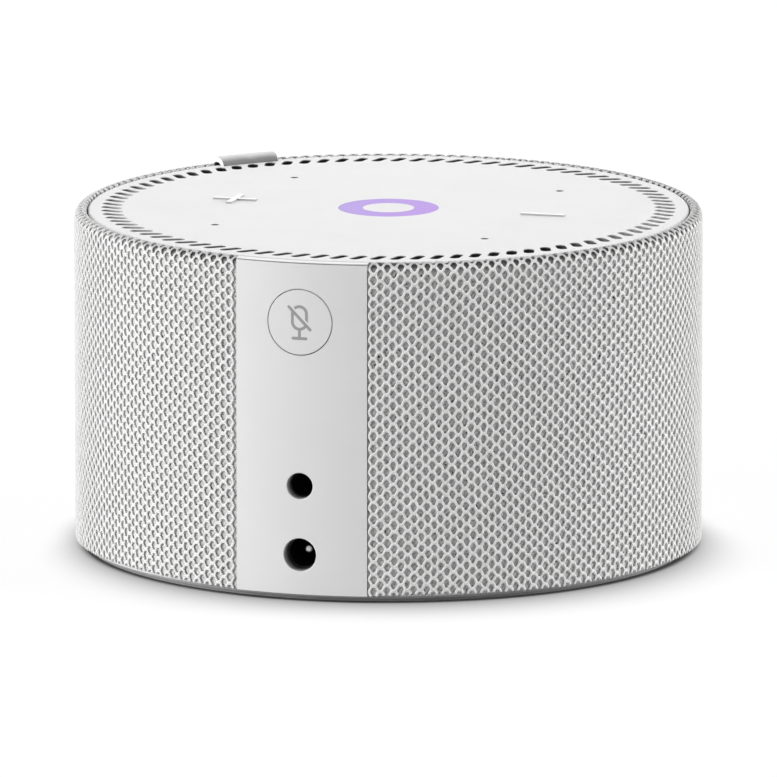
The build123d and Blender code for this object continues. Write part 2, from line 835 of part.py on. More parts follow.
with BuildPart() as mic_gaskets:
    with BuildSketch(Plane.XY.offset(board_top)):
        with Locations(*mic_points):
            Circle(gasket_radius)
            Circle(gasket_bore, mode=Mode.SUBTRACT)
    extrude(amount=board_gap)
mic_gaskets.part.label = "mic_gaskets"
export_step(mic_gaskets.part, "parts/mic_gaskets.step")

with BuildPart() as touch_pads:
    with BuildSketch(Plane.XY.offset(board_top)):
        with Locations(*key_points):
            Circle(touch_radius)
    extrude(amount=board_gap)
touch_pads.part.label = "touch_pads"
export_step(touch_pads.part, "parts/touch_pads.step")

with BuildPart() as board_chips:
    with BuildSketch(Plane.XY.offset(board_bottom)):
        with Locations((0, processor_y)):
            Rectangle(processor_size, processor_size)
    extrude(amount=-processor_depth)
    with BuildSketch(Plane.XY.offset(board_bottom)):
        with Locations((-memory_x, processor_y), (memory_x, processor_y)):
            Rectangle(memory_length, memory_width)
    extrude(amount=-memory_depth)
board_chips.part.label = "board_chips"
export_step(board_chips.part, "parts/board_chips.step")

with BuildPart() as shield_can:
    with BuildSketch(Plane.XY.offset(board_bottom)):
        with Locations((0, can_y)):
            Rectangle(can_length, can_width)
    extrude(amount=-can_depth)
    with BuildSketch(Plane.XY.offset(board_bottom)):
        with Locations((0, can_y)):
            Rectangle(can_length - 2 * can_wall, can_width - 2 * can_wall)
    extrude(amount=can_wall - can_depth, mode=Mode.SUBTRACT)
shield_can.part.label = "shield_can"
export_step(shield_can.part, "parts/shield_can.step")

# Edge connector: hangs under the top board and takes the input board's top edge
with BuildPart() as edge_connector:
    with BuildSketch(Plane.XY.offset(board_bottom)):
        with Locations((connector_start, -(io_face + io_back) / 2)):
            Rectangle(connector_length, connector_width, align=(Align.MIN, Align.CENTER))
    extrude(amount=-connector_depth)
    with BuildSketch(Plane.XY.offset(board_bottom - connector_depth)):
        with Locations((connector_start, -(io_face + io_back) / 2)):
            Rectangle(connector_length, io_thickness + 2 * fixed_fit, align=(Align.MIN, Align.CENTER))
    extrude(amount=connector_slot_depth, mode=Mode.SUBTRACT)
edge_connector.part.label = "edge_connector"
export_step(edge_connector.part, "parts/edge_connector.step")


# Speaker chamber: a cup on the base pads, with bosses for its own screws and the speaker's
with BuildPart() as speaker_chamber:
    with BuildSketch(Plane.XY.offset(chamber_bottom)):
        Circle(chamber_radius)
    extrude(amount=chamber_height)
    with BuildSketch(Plane.XY.offset(chamber_bottom + chamber_floor)):
        Circle(chamber_radius - chamber_wall)
    extrude(amount=chamber_height - chamber_floor, mode=Mode.SUBTRACT)
    with BuildSketch(Plane.XY.offset(chamber_bottom + chamber_floor)):
        with Locations(*chamber_screw_points):
            Circle(chamber_boss_radius)
    extrude(amount=chamber_boss_height)
    with BuildSketch(Plane.XY.offset(chamber_top)):
        with Locations(*speaker_screw_points):
            Circle(speaker_boss_radius)
    extrude(amount=-speaker_boss_height)
    with BuildSketch(Plane.XY.offset(chamber_bottom)):
        with Locations(*chamber_screw_points):
            Circle(screw_radius + screw_fit)
    extrude(amount=chamber_hole_depth, mode=Mode.SUBTRACT)
    with BuildSketch(Plane.XY.offset(chamber_top)):
        with Locations(*speaker_screw_points):
            Circle(small_screw_radius + screw_fit)
    extrude(amount=-speaker_hole_depth, mode=Mode.SUBTRACT)
speaker_chamber.part.label = "speaker_chamber"
export_step(speaker_chamber.part, "parts/speaker_chamber.step")

with BuildPart() as speaker_gasket:
    with BuildSketch(Plane.XY.offset(chamber_top)):
        Circle(speaker_radius)
        Circle(mouth_radius + basket_wall + fixed_fit, mode=Mode.SUBTRACT)
        with Locations(*speaker_screw_points):
            Circle(small_screw_radius + screw_hole_fit, mode=Mode.SUBTRACT)
    extrude(amount=gasket_thickness)
speaker_gasket.part.label = "speaker_gasket"
export_step(speaker_gasket.part, "parts/speaker_gasket.step")


# Loudspeaker basket: flange, windowed cone wall, ledge for the spider, floor for the motor
with BuildPart() as speaker_basket:
    with BuildSketch(Plane.XZ):
        with BuildLine():
            Polyline(
                (speaker_radius, speaker_seat), (speaker_radius, speaker_face),
                (mouth_radius, speaker_face), (spider_radius, spider_seat),
                (ledge_inner, spider_seat), (ledge_inner, basket_floor + basket_wall),
                (basket_bore, basket_floor + basket_wall), (basket_bore, basket_floor),
                (ledge_inner + basket_wall, basket_floor),
                (ledge_inner + basket_wall, spider_seat - basket_wall),
                (spider_radius + basket_wall, spider_seat - basket_wall),
                (mouth_radius + basket_wall, speaker_seat), close=True)
        make_face()
    revolve(axis=Axis.Z)
    window_middle = (speaker_seat + spider_seat) / 2
    with PolarLocations((spider_radius + mouth_radius) / 2, 4):
        with Locations((0, 0, window_middle)):
            Box(4 * basket_wall, basket_window_width, basket_window_height, mode=Mode.SUBTRACT)
    with BuildSketch(Plane.XY.offset(speaker_seat)):
        with Locations(*speaker_screw_points):
            Circle(small_screw_radius + screw_hole_fit)
    extrude(amount=speaker_flange, mode=Mode.SUBTRACT)
speaker_basket.part.label = "speaker_basket"
export_step(speaker_basket.part, "parts/speaker_basket.step")

speaker_screws = make_screws(
    Plane((0, 0, speaker_face), x_dir=(1, 0, 0), z_dir=(0, 0, -1)), speaker_screw_points,
    small_screw_radius, small_head_radius, small_head_height, speaker_screw_length)
speaker_screws.part.label = "speaker_screws"
export_step(speaker_screws.part, "parts/speaker_screws.step")


# Loudspeaker motor: steel top plate, ring magnet, yoke with its pole
with BuildPart() as speaker_plate:
    with BuildSketch(Plane.XY.offset(plate_bottom)):
        Circle(plate_radius)
        Circle(plate_bore, mode=Mode.SUBTRACT)
    extrude(amount=plate_thickness)
speaker_plate.part.label = "speaker_plate"
export_step(speaker_plate.part, "parts/speaker_plate.step")

with BuildPart() as speaker_magnet:
    with BuildSketch(Plane.XY.offset(magnet_bottom)):
        Circle(magnet_radius)
        Circle(magnet_bore, mode=Mode.SUBTRACT)
    extrude(amount=magnet_thickness)
speaker_magnet.part.label = "speaker_magnet"
export_step(speaker_magnet.part, "parts/speaker_magnet.step")

with BuildPart() as speaker_yoke:
    with BuildSketch(Plane.XY.offset(yoke_bottom)):
        Circle(plate_radius)
    extrude(amount=yoke_thickness)
    with BuildSketch(Plane.XY.offset(magnet_bottom)):
        Circle(pole_radius)
    extrude(amount=basket_floor - magnet_bottom)
speaker_yoke.part.label = "speaker_yoke"
export_step(speaker_yoke.part, "parts/speaker_yoke.step")


# Moving system: coil on its former, paper cone, dust cap
with BuildPart() as voice_coil:
    with BuildSketch(Plane.XY.offset(coil_bottom)):
        Circle(former_outer)
        Circle(coil_inner, mode=Mode.SUBTRACT)
    extrude(amount=former_top - coil_bottom)
    with BuildSketch(Plane.XY.offset(coil_bottom)):
        Circle(former_outer + coil_thickness)
        Circle(former_outer, mode=Mode.SUBTRACT)
    extrude(amount=coil_height)
voice_coil.part.label = "voice_coil"
export_step(voice_coil.part, "parts/voice_coil.step")

with BuildPart() as speaker_cone:
    with BuildSketch(Plane.XZ):
        with BuildLine():
            Polyline(
                (cone_neck_radius, cone_neck), (cone_lip_inner, cone_rim),
                (cone_lip_inner + cone_lip, cone_rim), (cone_lip_inner + cone_lip, speaker_face),
                (cone_lip_inner, speaker_face), (cone_neck_radius, cone_neck + cone_thickness),
                close=True)
        make_face()
    revolve(axis=Axis.Z)
speaker_cone.part.label = "speaker_cone"
export_step(speaker_cone.part, "parts/speaker_cone.step")

with BuildPart() as dust_cap:
    with BuildSketch(Plane.XZ):
        with BuildLine():
            TangentArc((0, cap_top), (cap_radius, cap_base), tangent=(1, 0))
            Line((cap_radius, cap_base), (cap_inner, cap_base))
            TangentArc((0, cap_under), (cap_inner, cap_base), tangent=(1, 0))
            Line((0, cap_under), (0, cap_top))
        make_face()
    revolve(axis=Axis.Z)
dust_cap.part.label = "dust_cap"
export_step(dust_cap.part, "parts/dust_cap.step")


# Suspension: half-roll surround at the rim, pleated spider at the coil
with BuildPart() as speaker_surround:
    with BuildSketch(Plane.XZ):
        with Locations((roll_middle, speaker_face)):
            Circle(roll_radius)
            Circle(roll_radius - surround_thickness, mode=Mode.SUBTRACT)
            Rectangle(3 * roll_radius, 2 * roll_radius,
                      align=(Align.CENTER, Align.MAX), mode=Mode.SUBTRACT)
        with Locations((cone_lip_inner, speaker_face)):
            Rectangle(roll_middle - roll_radius + surround_thickness - cone_lip_inner, surround_thickness,
                      align=(Align.MIN, Align.MIN))
        with Locations((surround_outer, speaker_face)):
            Rectangle(surround_outer - roll_middle - roll_radius + surround_thickness, surround_thickness,
                      align=(Align.MAX, Align.MIN))
    revolve(axis=Axis.Z)
speaker_surround.part.label = "speaker_surround"
export_step(speaker_surround.part, "parts/speaker_surround.step")

spider_outer = spider_radius - fixed_fit
wave_start = cone_neck_radius + spider_land
wave_step = (ledge_inner - wave_start) / (2 * spider_wave_count)
spider_wave_points = [
    (wave_start + wave_step * i, spider_seat + spider_wave * (i % 2))
    for i in range(2 * spider_wave_count + 1)]
spider_line = [(cone_neck_radius, spider_seat)] + spider_wave_points + [(spider_outer, spider_seat)]
spider_upper = [(r, z + spider_thickness) for r, z in reversed(spider_line)]
with BuildPart() as speaker_spider:
    with BuildSketch(Plane.XZ):
        with BuildLine():
            Polyline(*spider_line, *spider_upper, close=True)
        make_face()
    revolve(axis=Axis.Z)
speaker_spider.part.label = "speaker_spider"
export_step(speaker_spider.part, "parts/speaker_spider.step")


# Speaker wiring: two terminals on the flange, two leads, a header under the top board
terminal_points = [(terminal_x, -terminal_spread / 2), (terminal_x, terminal_spread / 2)]
with BuildPart() as speaker_terminals:
    with BuildSketch(Plane.XY.offset(speaker_face)):
        with Locations(*terminal_points):
            Rectangle(terminal_length, terminal_width)
    extrude(amount=terminal_thickness)
speaker_terminals.part.label = "speaker_terminals"
export_step(speaker_terminals.part, "parts/speaker_terminals.step")

with BuildPart() as speaker_leads:
    with BuildSketch(Plane.XY.offset(terminal_top)):
        with Locations(*terminal_points):
            Circle(lead_radius)
    extrude(amount=header_bottom - terminal_top)
speaker_leads.part.label = "speaker_leads"
export_step(speaker_leads.part, "parts/speaker_leads.step")

with BuildPart() as speaker_header:
    with BuildSketch(Plane.XY.offset(board_bottom)):
        with Locations((terminal_x, 0)):
            Rectangle(header_width, terminal_spread + 2 * header_margin)
    extrude(amount=-header_depth)
speaker_header.part.label = "speaker_header"
export_step(speaker_header.part, "parts/speaker_header.step")
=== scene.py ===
import math

import bmesh
import bpy
import numpy as np
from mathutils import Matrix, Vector


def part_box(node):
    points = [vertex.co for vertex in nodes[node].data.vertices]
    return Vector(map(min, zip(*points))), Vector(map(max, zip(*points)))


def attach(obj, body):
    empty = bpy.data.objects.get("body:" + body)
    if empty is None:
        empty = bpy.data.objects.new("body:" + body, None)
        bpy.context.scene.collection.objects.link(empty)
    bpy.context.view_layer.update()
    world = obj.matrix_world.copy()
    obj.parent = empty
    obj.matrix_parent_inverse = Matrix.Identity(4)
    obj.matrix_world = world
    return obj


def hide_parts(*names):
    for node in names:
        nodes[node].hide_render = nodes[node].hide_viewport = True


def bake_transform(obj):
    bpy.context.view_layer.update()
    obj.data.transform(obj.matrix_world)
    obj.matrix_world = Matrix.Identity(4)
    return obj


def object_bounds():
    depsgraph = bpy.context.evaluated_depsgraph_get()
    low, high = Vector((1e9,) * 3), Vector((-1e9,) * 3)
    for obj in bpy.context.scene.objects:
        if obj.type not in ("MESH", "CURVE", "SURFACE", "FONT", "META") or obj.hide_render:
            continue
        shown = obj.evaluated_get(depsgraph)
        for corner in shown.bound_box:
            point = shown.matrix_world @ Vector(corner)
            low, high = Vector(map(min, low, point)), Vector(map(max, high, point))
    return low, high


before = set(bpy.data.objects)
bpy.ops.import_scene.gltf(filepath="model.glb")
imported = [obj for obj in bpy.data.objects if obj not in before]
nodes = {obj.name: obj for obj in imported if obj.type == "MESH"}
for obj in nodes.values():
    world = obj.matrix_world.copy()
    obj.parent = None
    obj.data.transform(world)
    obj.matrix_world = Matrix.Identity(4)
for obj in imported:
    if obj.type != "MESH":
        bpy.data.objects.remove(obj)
cad_low, cad_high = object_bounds()

MM = 0.001
photo_azimuth = 16.1


def middle_height(node):
    """Height of the middle of a node's box, in millimetres."""
    low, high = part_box(node)
    return (low[2] + high[2]) / 2 / MM


def top_height(node):
    """Height of the top of a node's box, in millimetres."""
    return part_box(node)[1][2] / MM


# Places on the part that the materials follow, in millimetres, mostly where they paint shade and light. Pairs
# are where a change starts and ends.
mute_height, pin_height = middle_height("mute_button"), middle_height("power_jack_pin")
cover_top, mark_top, panel_top = top_height("centre_cap"), top_height("top_cover"), top_height("rear_panel")
small_holes_radius, slots_radius, cover_edge_radius = (36.5, 37.0), (38.2, 40.6), (41.3, 41.5)
hole_wall_radius, panel_lip_radius, groove_radius = (43.1, 44.97), (43.5, 43.8), (44.85, 44.98)
sockets_height = (22.0, 24.0)
button_seam, panel_seam = (4.45, 4.58), (4.85, 4.98)
tab_height = (48.4, 49.5)
yarn_bead_height, yarn_bead_left = (47.7, 48.45), (-44.0, -30.0)
cloth_bead_height, cloth_bead_left = (47.0, 47.9), (-43.0, -30.0)


def srgb(*levels):
    """Linear colour from screen levels of 0 to 255."""
    shares = [level / 255 for level in (levels * 3 if len(levels) == 1 else levels)]
    linear = [s / 12.92 if s <= 0.04045 else ((s + 0.055) / 1.055) ** 2.4 for s in shares]
    return (*linear, 1.0)


class Surface:
    """A procedural material. Its textures are sized in millimetres on the piece."""

    def __init__(self, name, **sockets):
        self.material = bpy.data.materials.new(name)
        self.material.use_nodes = True
        self.tree = self.material.node_tree
        self.shader = self.tree.nodes["Principled BSDF"]
        self.normal = None
        for socket, value in sockets.items():
            self.shader.inputs[socket.replace("_", " ")].default_value = value

    def add(self, kind, inputs=(), **settings):
        node = self.tree.nodes.new(kind)
        for key, value in settings.items():
            setattr(node, key, value)
        for socket, value in dict(inputs).items():
            if isinstance(value, bpy.types.NodeSocket):
                self.tree.links.new(value, node.inputs[socket])
            else:
                node.inputs[socket].default_value = value
        return node

    def place(self, stretch=(1, 1, 1), turn=(0, 0, 0), flat=False):
        """Place on the piece in millimetres, or on its flat map of millimetres."""
        source = self.add("ShaderNodeTexCoord")
        size = 1 if flat else 1 / MM
        return self.add("ShaderNodeMapping", {
            "Vector": source.outputs["UV" if flat else "Object"],
            "Scale": [size * s for s in stretch],
            "Rotation": [math.radians(a) for a in turn]}).outputs["Vector"]

    def noise(self, size, detail=2.0, distortion=0.0, where=None):
        return self.add("ShaderNodeTexNoise", {
            "Vector": where or self.place(), "Scale": 1 / size, "Detail": detail,
            "Distortion": distortion}).outputs["Fac"]

    def cells(self, size, where=None, feature="F1"):
        return self.add("ShaderNodeTexVoronoi", {
            "Vector": where or self.place(), "Scale": 1 / size}, feature=feature).outputs["Distance"]

    def waves(self, size, where=None, distortion=0.0, kind="BANDS", direction="X"):
        settings = {"bands_direction": direction} if kind == "BANDS" else {"rings_direction": direction}
        return self.add("ShaderNodeTexWave", {
            "Vector": where or self.place(), "Scale": 0.314 / size, "Distortion": distortion},
            wave_type=kind, **settings).outputs["Fac"]

    def tint(self, amount, *stops):
        """Colour that runs through the stops as the amount goes from 0 to 1."""
        node = self.add("ShaderNodeValToRGB", {"Fac": amount})
        ramp = node.color_ramp.elements
        while len(ramp) < len(stops):
            ramp.new(0.5)
        for element, (position, colour) in zip(ramp, stops):
            element.position, element.color = position, colour
        return node.outputs["Color"]

    def mix(self, amount, first, second, blend="MIX"):
        node = self.add("ShaderNodeMix", data_type="RGBA", blend_type=blend)
        for socket, value in zip((node.inputs[0], node.inputs[6], node.inputs[7]), (amount, first, second)):
            if isinstance(value, bpy.types.NodeSocket):
                self.tree.links.new(value, socket)
            else:
                socket.default_value = value
        return node.outputs[2]

    def spread(self, amount, low, high, start=0.3, end=0.7):
        """Number that runs from low to high as the amount goes from start to end."""
        return self.add("ShaderNodeMapRange", {
            "Value": amount, "From Min": start, "From Max": end,
            "To Min": low, "To Max": high}).outputs["Result"]

    def measure(self, operation, *inputs):
        node = self.add("ShaderNodeVectorMath", dict(enumerate(inputs)), operation=operation)
        return node.outputs["Value"]

    def height(self):
        """Height above the floor, in millimetres."""
        return self.add("ShaderNodeSeparateXYZ", {"Vector": self.place()}).outputs["Z"]

    def radius(self):
        """Distance from the part's upright axis, in millimetres."""
        return self.measure("LENGTH", self.place((1, 1, 0)))

    def off_axis(self, height):
        """Distance from a line along Y at this height, in millimetres."""
        return self.measure("DISTANCE", self.place((1, 0, 1)), (0.0, 0.0, height))

    def across(self):
        """Place on the part from its left to its right in the photograph, in millimetres from the axis."""
        turn = math.radians(photo_azimuth)
        return self.measure("DOT_PRODUCT", self.place(), (math.cos(turn), math.sin(turn), 0.0))

    def calc(self, first, second, operation="ADD"):
        return self.add("ShaderNodeMath", {0: first, 1: second}, operation=operation).outputs["Value"]

    def bump(self, height, depth, strength=1.0):
        """Relief of this depth in millimetres, on top of any earlier relief."""
        inputs = {"Height": height, "Distance": depth * MM, "Strength": strength}
        if self.normal:
            inputs["Normal"] = self.normal
        self.normal = self.add("ShaderNodeBump", inputs).outputs["Normal"]
        self.set("Normal", self.normal)

    def set(self, socket, source):
        self.tree.links.new(source, self.shader.inputs[socket])


def moulded(name, colour, shade, roughness, grain, depth, patch=9.0, **sockets):
    """Moulded plastic or rubber: cloudy colour, spark-eroded grain, uneven gloss."""
    s = Surface(name, **sockets)
    fine = s.noise(grain, 3.0)
    s.set("Base Color", s.tint(s.noise(patch, 3.0), (0.3, shade), (0.7, colour)))
    s.set("Roughness", s.spread(fine, roughness - 0.06, roughness + 0.06))
    s.bump(fine, depth)
    return s.material


def cover_plastic(name):
    """White top plastic, with painted shade inside its slots and holes and on the sides of the raised marks,
    and a painted highlight on the marks' tops.
    """
    s = Surface(name)
    fine = s.noise(0.16, 3.0)
    white = s.tint(s.noise(9.0, 3.0), (0.3, srgb(219)), (0.7, srgb(222)))
    height, radius = s.height(), s.radius()
    # Painted light: the slots' painted shade is lighter at the left and right, most at their inner ends.
    aside = s.calc(s.across(), radius, "DIVIDE")
    at_sides = s.spread(s.calc(aside, aside, "MULTIPLY"), 0.0, 1.0, 0.35, 0.85)
    slot_painted_light = s.calc(s.spread(radius, 0.7, 0.15, *slots_radius), at_sides, "MULTIPLY")
    slot_painted_shade = s.calc(1.0, slot_painted_light, "SUBTRACT")
    # Painted shade: the slots and the small holes turn near black below the face, inside the cover's edge.
    small_holes = s.spread(radius, 1.0, 0.0, *small_holes_radius)
    inside_edge = s.spread(radius, 1.0, 0.0, *cover_edge_radius)
    deep = s.calc(s.spread(height, 1.0, 0.0, cover_top - 0.16, cover_top - 0.01), inside_edge, "MULTIPLY")
    dim = s.calc(deep, s.calc(slot_painted_shade, small_holes, "MAXIMUM"), "MULTIPLY")
    # Painted highlight on the tops of the raised marks, painted shade on their sides.
    above_face = s.spread(height, 0.0, 0.6, cover_top + 0.005, cover_top + 0.02)
    raised = s.spread(height, 0.0, 1.0, mark_top - 0.02, mark_top - 0.005)
    mark_side_shade = s.calc(above_face, s.calc(1.0, raised, "SUBTRACT"), "MULTIPLY")
    face = s.mix(raised, s.mix(dim, white, srgb(10)), srgb(252))
    s.set("Base Color", s.mix(mark_side_shade, face, srgb(120)))
    s.set("Roughness", s.spread(fine, 0.39, 0.51))
    s.bump(fine, 0.006)
    return s.material


def panel_grey(s):
    """Colour of the light grey plastic, with its gloss and grain put on the surface."""
    fine = s.noise(0.14, 3.0)
    s.set("Roughness", s.spread(fine, 0.36, 0.48))
    s.bump(fine, 0.006)
    return s.tint(s.noise(9.0, 3.0), (0.3, srgb(226)), (0.7, srgb(229)))


def panel_wall(name):
    """Panel plastic with painted shade on the walls of its socket holes, in its groove and along its inner top
    edge, and a faint grey ring of painted shade round the button's seam.
    """
    s = Surface(name)
    height, radius = s.height(), s.radius()
    # Painted shade on the walls of the socket holes, in the groove and along the inner top edge.
    low = s.spread(height, 1.0, 0.0, *sockets_height)
    hole_shade = s.calc(s.spread(radius, 0.93, 0.0, *hole_wall_radius), low, "MULTIPLY")
    high = s.spread(height, 0.0, 1.0, panel_top - 0.6, panel_top - 0.3)
    groove = s.calc(s.spread(radius, 0.5, 0.0, *groove_radius), high, "MULTIPLY")
    top = s.spread(height, 0.0, 1.0, panel_top - 0.08, panel_top - 0.01)
    groove = s.calc(groove, s.calc(1.0, top, "SUBTRACT"), "MULTIPLY")
    lip_shade = s.calc(s.spread(radius, 0.5, 0.0, *panel_lip_radius), top, "MULTIPLY")
    # Painted shade: a faint grey ring round the button's seam.
    seam = s.spread(s.off_axis(mute_height), 0.1, 0.0, *panel_seam)
    dim = s.calc(s.calc(hole_shade, groove, "MAXIMUM"), lip_shade, "MAXIMUM")
    s.set("Base Color", s.mix(seam, s.mix(dim, panel_grey(s), srgb(34)), srgb(132)))
    return s.material


def button_wall(name):
    """Button plastic like the panel's, with painted shade greyer at the seam."""
    s = Surface(name)
    seam = s.spread(s.off_axis(mute_height), 0.0, 0.1, *button_seam)
    s.set("Base Color", s.mix(seam, panel_grey(s), srgb(132)))
    return s.material


def tape(name):
    """Soft grey strip, with painted shade darker towards its root."""
    s = Surface(name, Sheen_Weight=0.15)
    fine = s.noise(0.18, 3.0)
    height = s.height()
    rise = s.calc(height, s.spread(s.noise(2.0, 3.0), -0.06, 0.06))
    s.set("Base Color", s.tint(
        s.spread(rise, 0.0, 1.0, *tab_height), (0.0, srgb(106)), (0.5, srgb(126)), (1.0, srgb(204))))
    s.set("Roughness", s.spread(fine, 0.55, 0.68))
    s.bump(fine, 0.012)
    return s.material


def metal(name, colour, shade, roughness, grain, stretch, depth, **sockets):
    """Metal with fine drawn or turned lines and a slightly uneven tone."""
    s = Surface(name, Metallic=1.0, **sockets)
    lines = s.noise(grain, 3.0, where=s.place(stretch))
    s.set("Base Color", s.tint(s.noise(2.5, 2.0), (0.3, shade), (0.7, colour)))
    s.set("Roughness", s.spread(lines, roughness - 0.08, roughness + 0.1))
    s.bump(lines, depth)
    return s.material


def pin_tip(name):
    """Plated pin, with a painted highlight in the middle of its round tip and painted shade towards its edge.
    """
    s = Surface(name, Metallic=1.0)
    lines = s.noise(0.15, 3.0, where=s.place((1, 0.15, 1)))
    # Painted highlight at the middle of the tip, painted shade towards its edge.
    wear_and_glint = s.calc(s.off_axis(pin_height), s.spread(lines, -0.05, 0.05))
    s.set("Base Color", s.tint(
        s.spread(wear_and_glint, 0.0, 1.0, 0.2, 0.62), (0.0, srgb(200)), (0.35, srgb(168)), (1.0, srgb(60))))
    s.set("Roughness", s.spread(lines, 0.2, 0.34))
    s.bump(lines, 0.003)
    return s.material


def circuit(name):
    """Solder mask over copper lines, with small bright lands."""
    s = Surface(name, IOR=1.5)
    weave = s.noise(0.5, 2.0)
    lines = s.add("ShaderNodeTexBrick", {
        "Vector": s.place((1, 1, 1), (0, 0, 45)), "Scale": 0.55, "Mortar Size": 0.05,
        "Color1": srgb(22, 74, 50), "Color2": srgb(26, 84, 57), "Mortar": srgb(44, 112, 74)})
    lands = s.spread(s.cells(2.3), 1.0, 0.0, 0.16, 0.2)
    s.set("Base Color", s.mix(lands, lines.outputs["Color"], srgb(205, 190, 150)))
    s.set("Roughness", s.spread(weave, 0.3, 0.45))
    s.bump(s.calc(lines.outputs["Fac"], weave), 0.02)
    return s.material


def woven(name, colour, shade, thread, depth, **sockets):
    """Plain weave from two sets of threads, with loose fibres."""
    s = Surface(name, **sockets)
    over = s.waves(thread, distortion=0.4, direction="X")
    under = s.waves(thread, distortion=0.4, direction="Y")
    weave = s.calc(over, under, "MAXIMUM")
    wear_and_glint = s.calc(weave, s.noise(thread * 2, 3.0), "MULTIPLY")
    s.set("Base Color", s.tint(wear_and_glint, (0.15, shade), (0.6, colour)))
    s.set("Roughness", s.spread(weave, 0.9, 0.75))
    s.bump(weave, depth)
    return s.material


def foam(name, colour, shade, size):
    """Foam with open bubbles of this size."""
    s = Surface(name)
    bubbles = s.cells(size)
    s.set("Base Color", s.tint(bubbles, (0.1, shade), (0.6, colour)))
    s.set("Roughness", s.spread(bubbles, 0.95, 0.8))
    s.bump(bubbles, 0.1)
    return s.material


def paper(name):
    """Pressed paper pulp with long pale fibres."""
    s = Surface(name)
    fibres = s.noise(0.35, 5.0, 2.5)
    s.set("Base Color", s.tint(
        fibres, (0.35, srgb(30, 30, 32)), (0.62, srgb(52, 51, 50)), (0.7, srgb(92, 89, 84))))
    s.set("Roughness", s.spread(fibres, 0.7, 0.9))
    s.bump(fibres, 0.06)
    return s.material


def winding(name):
    """Enamelled copper wire laid in close turns."""
    s = Surface(name, Metallic=1.0, Coat_Weight=0.4)
    turns = s.waves(0.18, direction="Z")
    s.set("Base Color", s.tint(
        s.calc(turns, s.noise(0.8), "MULTIPLY"), (0.1, srgb(112, 52, 26)), (0.6, srgb(214, 126, 74))))
    s.set("Roughness", s.spread(turns, 0.4, 0.25))
    s.bump(turns, 0.05)
    return s.material


def lit_lens(name):
    """Frosted lens over violet light, a little bluer on one side."""
    s = Surface(name, Roughness=0.5, Emission_Strength=0.24)
    across = s.add("ShaderNodeSeparateXYZ", {"Vector": s.place((0.06, 0.06, 0.06))}).outputs["X"]
    cloud = s.calc(across, s.spread(s.noise(1.6, 3.0), -0.1, 0.1))
    side = s.spread(cloud, 0.0, 1.0, -0.45, 0.45)
    s.set("Base Color", s.tint(side, (0.0, srgb(138, 112, 176)), (1.0, srgb(141, 104, 176))))
    s.set("Emission Color", s.tint(side, (0.0, srgb(190, 166, 252)), (1.0, srgb(196, 156, 252))))
    s.bump(s.noise(0.2, 2.0), 0.004)
    return s.material


def yarn(name):
    """White filament yarn: twisted strands, a soft sheen, a few greyer stretches, and painted shade greyer on
    the bead.
    """
    s = Surface(name, Sheen_Weight=0.25, Sheen_Roughness=0.4, IOR=1.45)
    strands = s.waves(0.16, s.place((1, 1.1, 1), (0, 0, 64), flat=True), 0.6)
    white = s.tint(s.noise(0.9, 3.0), (0.32, srgb(238, 238, 237)), (0.6, srgb(250, 250, 249)))
    # Painted shade on the bead, weaker towards the far left.
    left = s.spread(s.across(), 0.6, 1.0, *yarn_bead_left)
    bead = s.calc(s.spread(s.height(), 0.0, 0.8, *yarn_bead_height), left, "MULTIPLY")
    s.set("Base Color", s.mix(bead, white, srgb(176)))
    s.set("Roughness", s.spread(strands, 0.85, 0.7))
    s.bump(strands, 0.03)
    return s.material


def lining(name):
    """Grey under-cloth behind the net: slanting stitches with small dark specks, paler towards both sides as
    painted light, and darker on the bead as painted shade.
    """
    s = Surface(name, IOR=1.4)
    flat = s.place(flat=True)
    stitches = s.waves(0.5, s.place((1, 1, 1), (0, 0, 38), flat=True), 6.0)
    mottle = s.noise(0.26, 3.0, 1.2, flat)
    thread = s.calc(s.spread(stitches, 0.7, 1.0, 0.0, 1.0), mottle, "MULTIPLY")
    grey = s.tint(thread, (0.24, srgb(160)), (0.55, srgb(226)))
    # Painted light: paler towards the left and right.
    aside = s.calc(s.across(), s.across(), "MULTIPLY")
    grey = s.mix(s.spread(aside, 0.0, 0.55, 350.0, 1300.0), grey, srgb(246))
    # Painted shade on the bead, weaker towards the far left.
    left = s.spread(s.across(), 0.2, 1.0, *cloth_bead_left)
    bead = s.calc(s.spread(s.height(), 0.0, 0.9, *cloth_bead_height), left, "MULTIPLY")
    body = s.mix(bead, grey, srgb(70))
    dark_specks = s.spread(s.noise(0.5, 2.0, 0.4, flat), 0.0, 1.0, 0.66, 0.7)
    s.set("Base Color", s.mix(dark_specks, body, srgb(30)))
    s.set("Roughness", s.spread(mottle, 0.95, 0.8))
    s.bump(thread, 0.12)
    return s.material


def print_ink(name):
    """Thin grey print."""
    s = Surface(name, IOR=1.45)
    fine = s.noise(0.12, 3.0)
    s.set("Base Color", s.tint(s.noise(0.6, 3.0), (0.3, srgb(154)), (0.7, srgb(160))))
    s.set("Roughness", s.spread(fine, 0.5, 0.62))
    s.bump(fine, 0.004)
    return s.material


white_plastic = cover_plastic("white_plastic")
panel_plastic = panel_wall("panel_plastic")
button_plastic = button_wall("button_plastic")
shell_plastic = moulded("shell_plastic", srgb(150, 151, 152), srgb(142, 143, 144), 0.55, 0.2, 0.01)
base_plastic = moulded("base_plastic", srgb(172), srgb(164), 0.5, 0.15, 0.01)
foot_rubber = moulded("foot_rubber", srgb(152), srgb(140), 0.75, 0.3, 0.02)
black_plastic = moulded("black_plastic", srgb(24, 24, 25), srgb(16, 16, 17), 0.38, 0.2, 0.008)
tab_tape = tape("tab_tape")
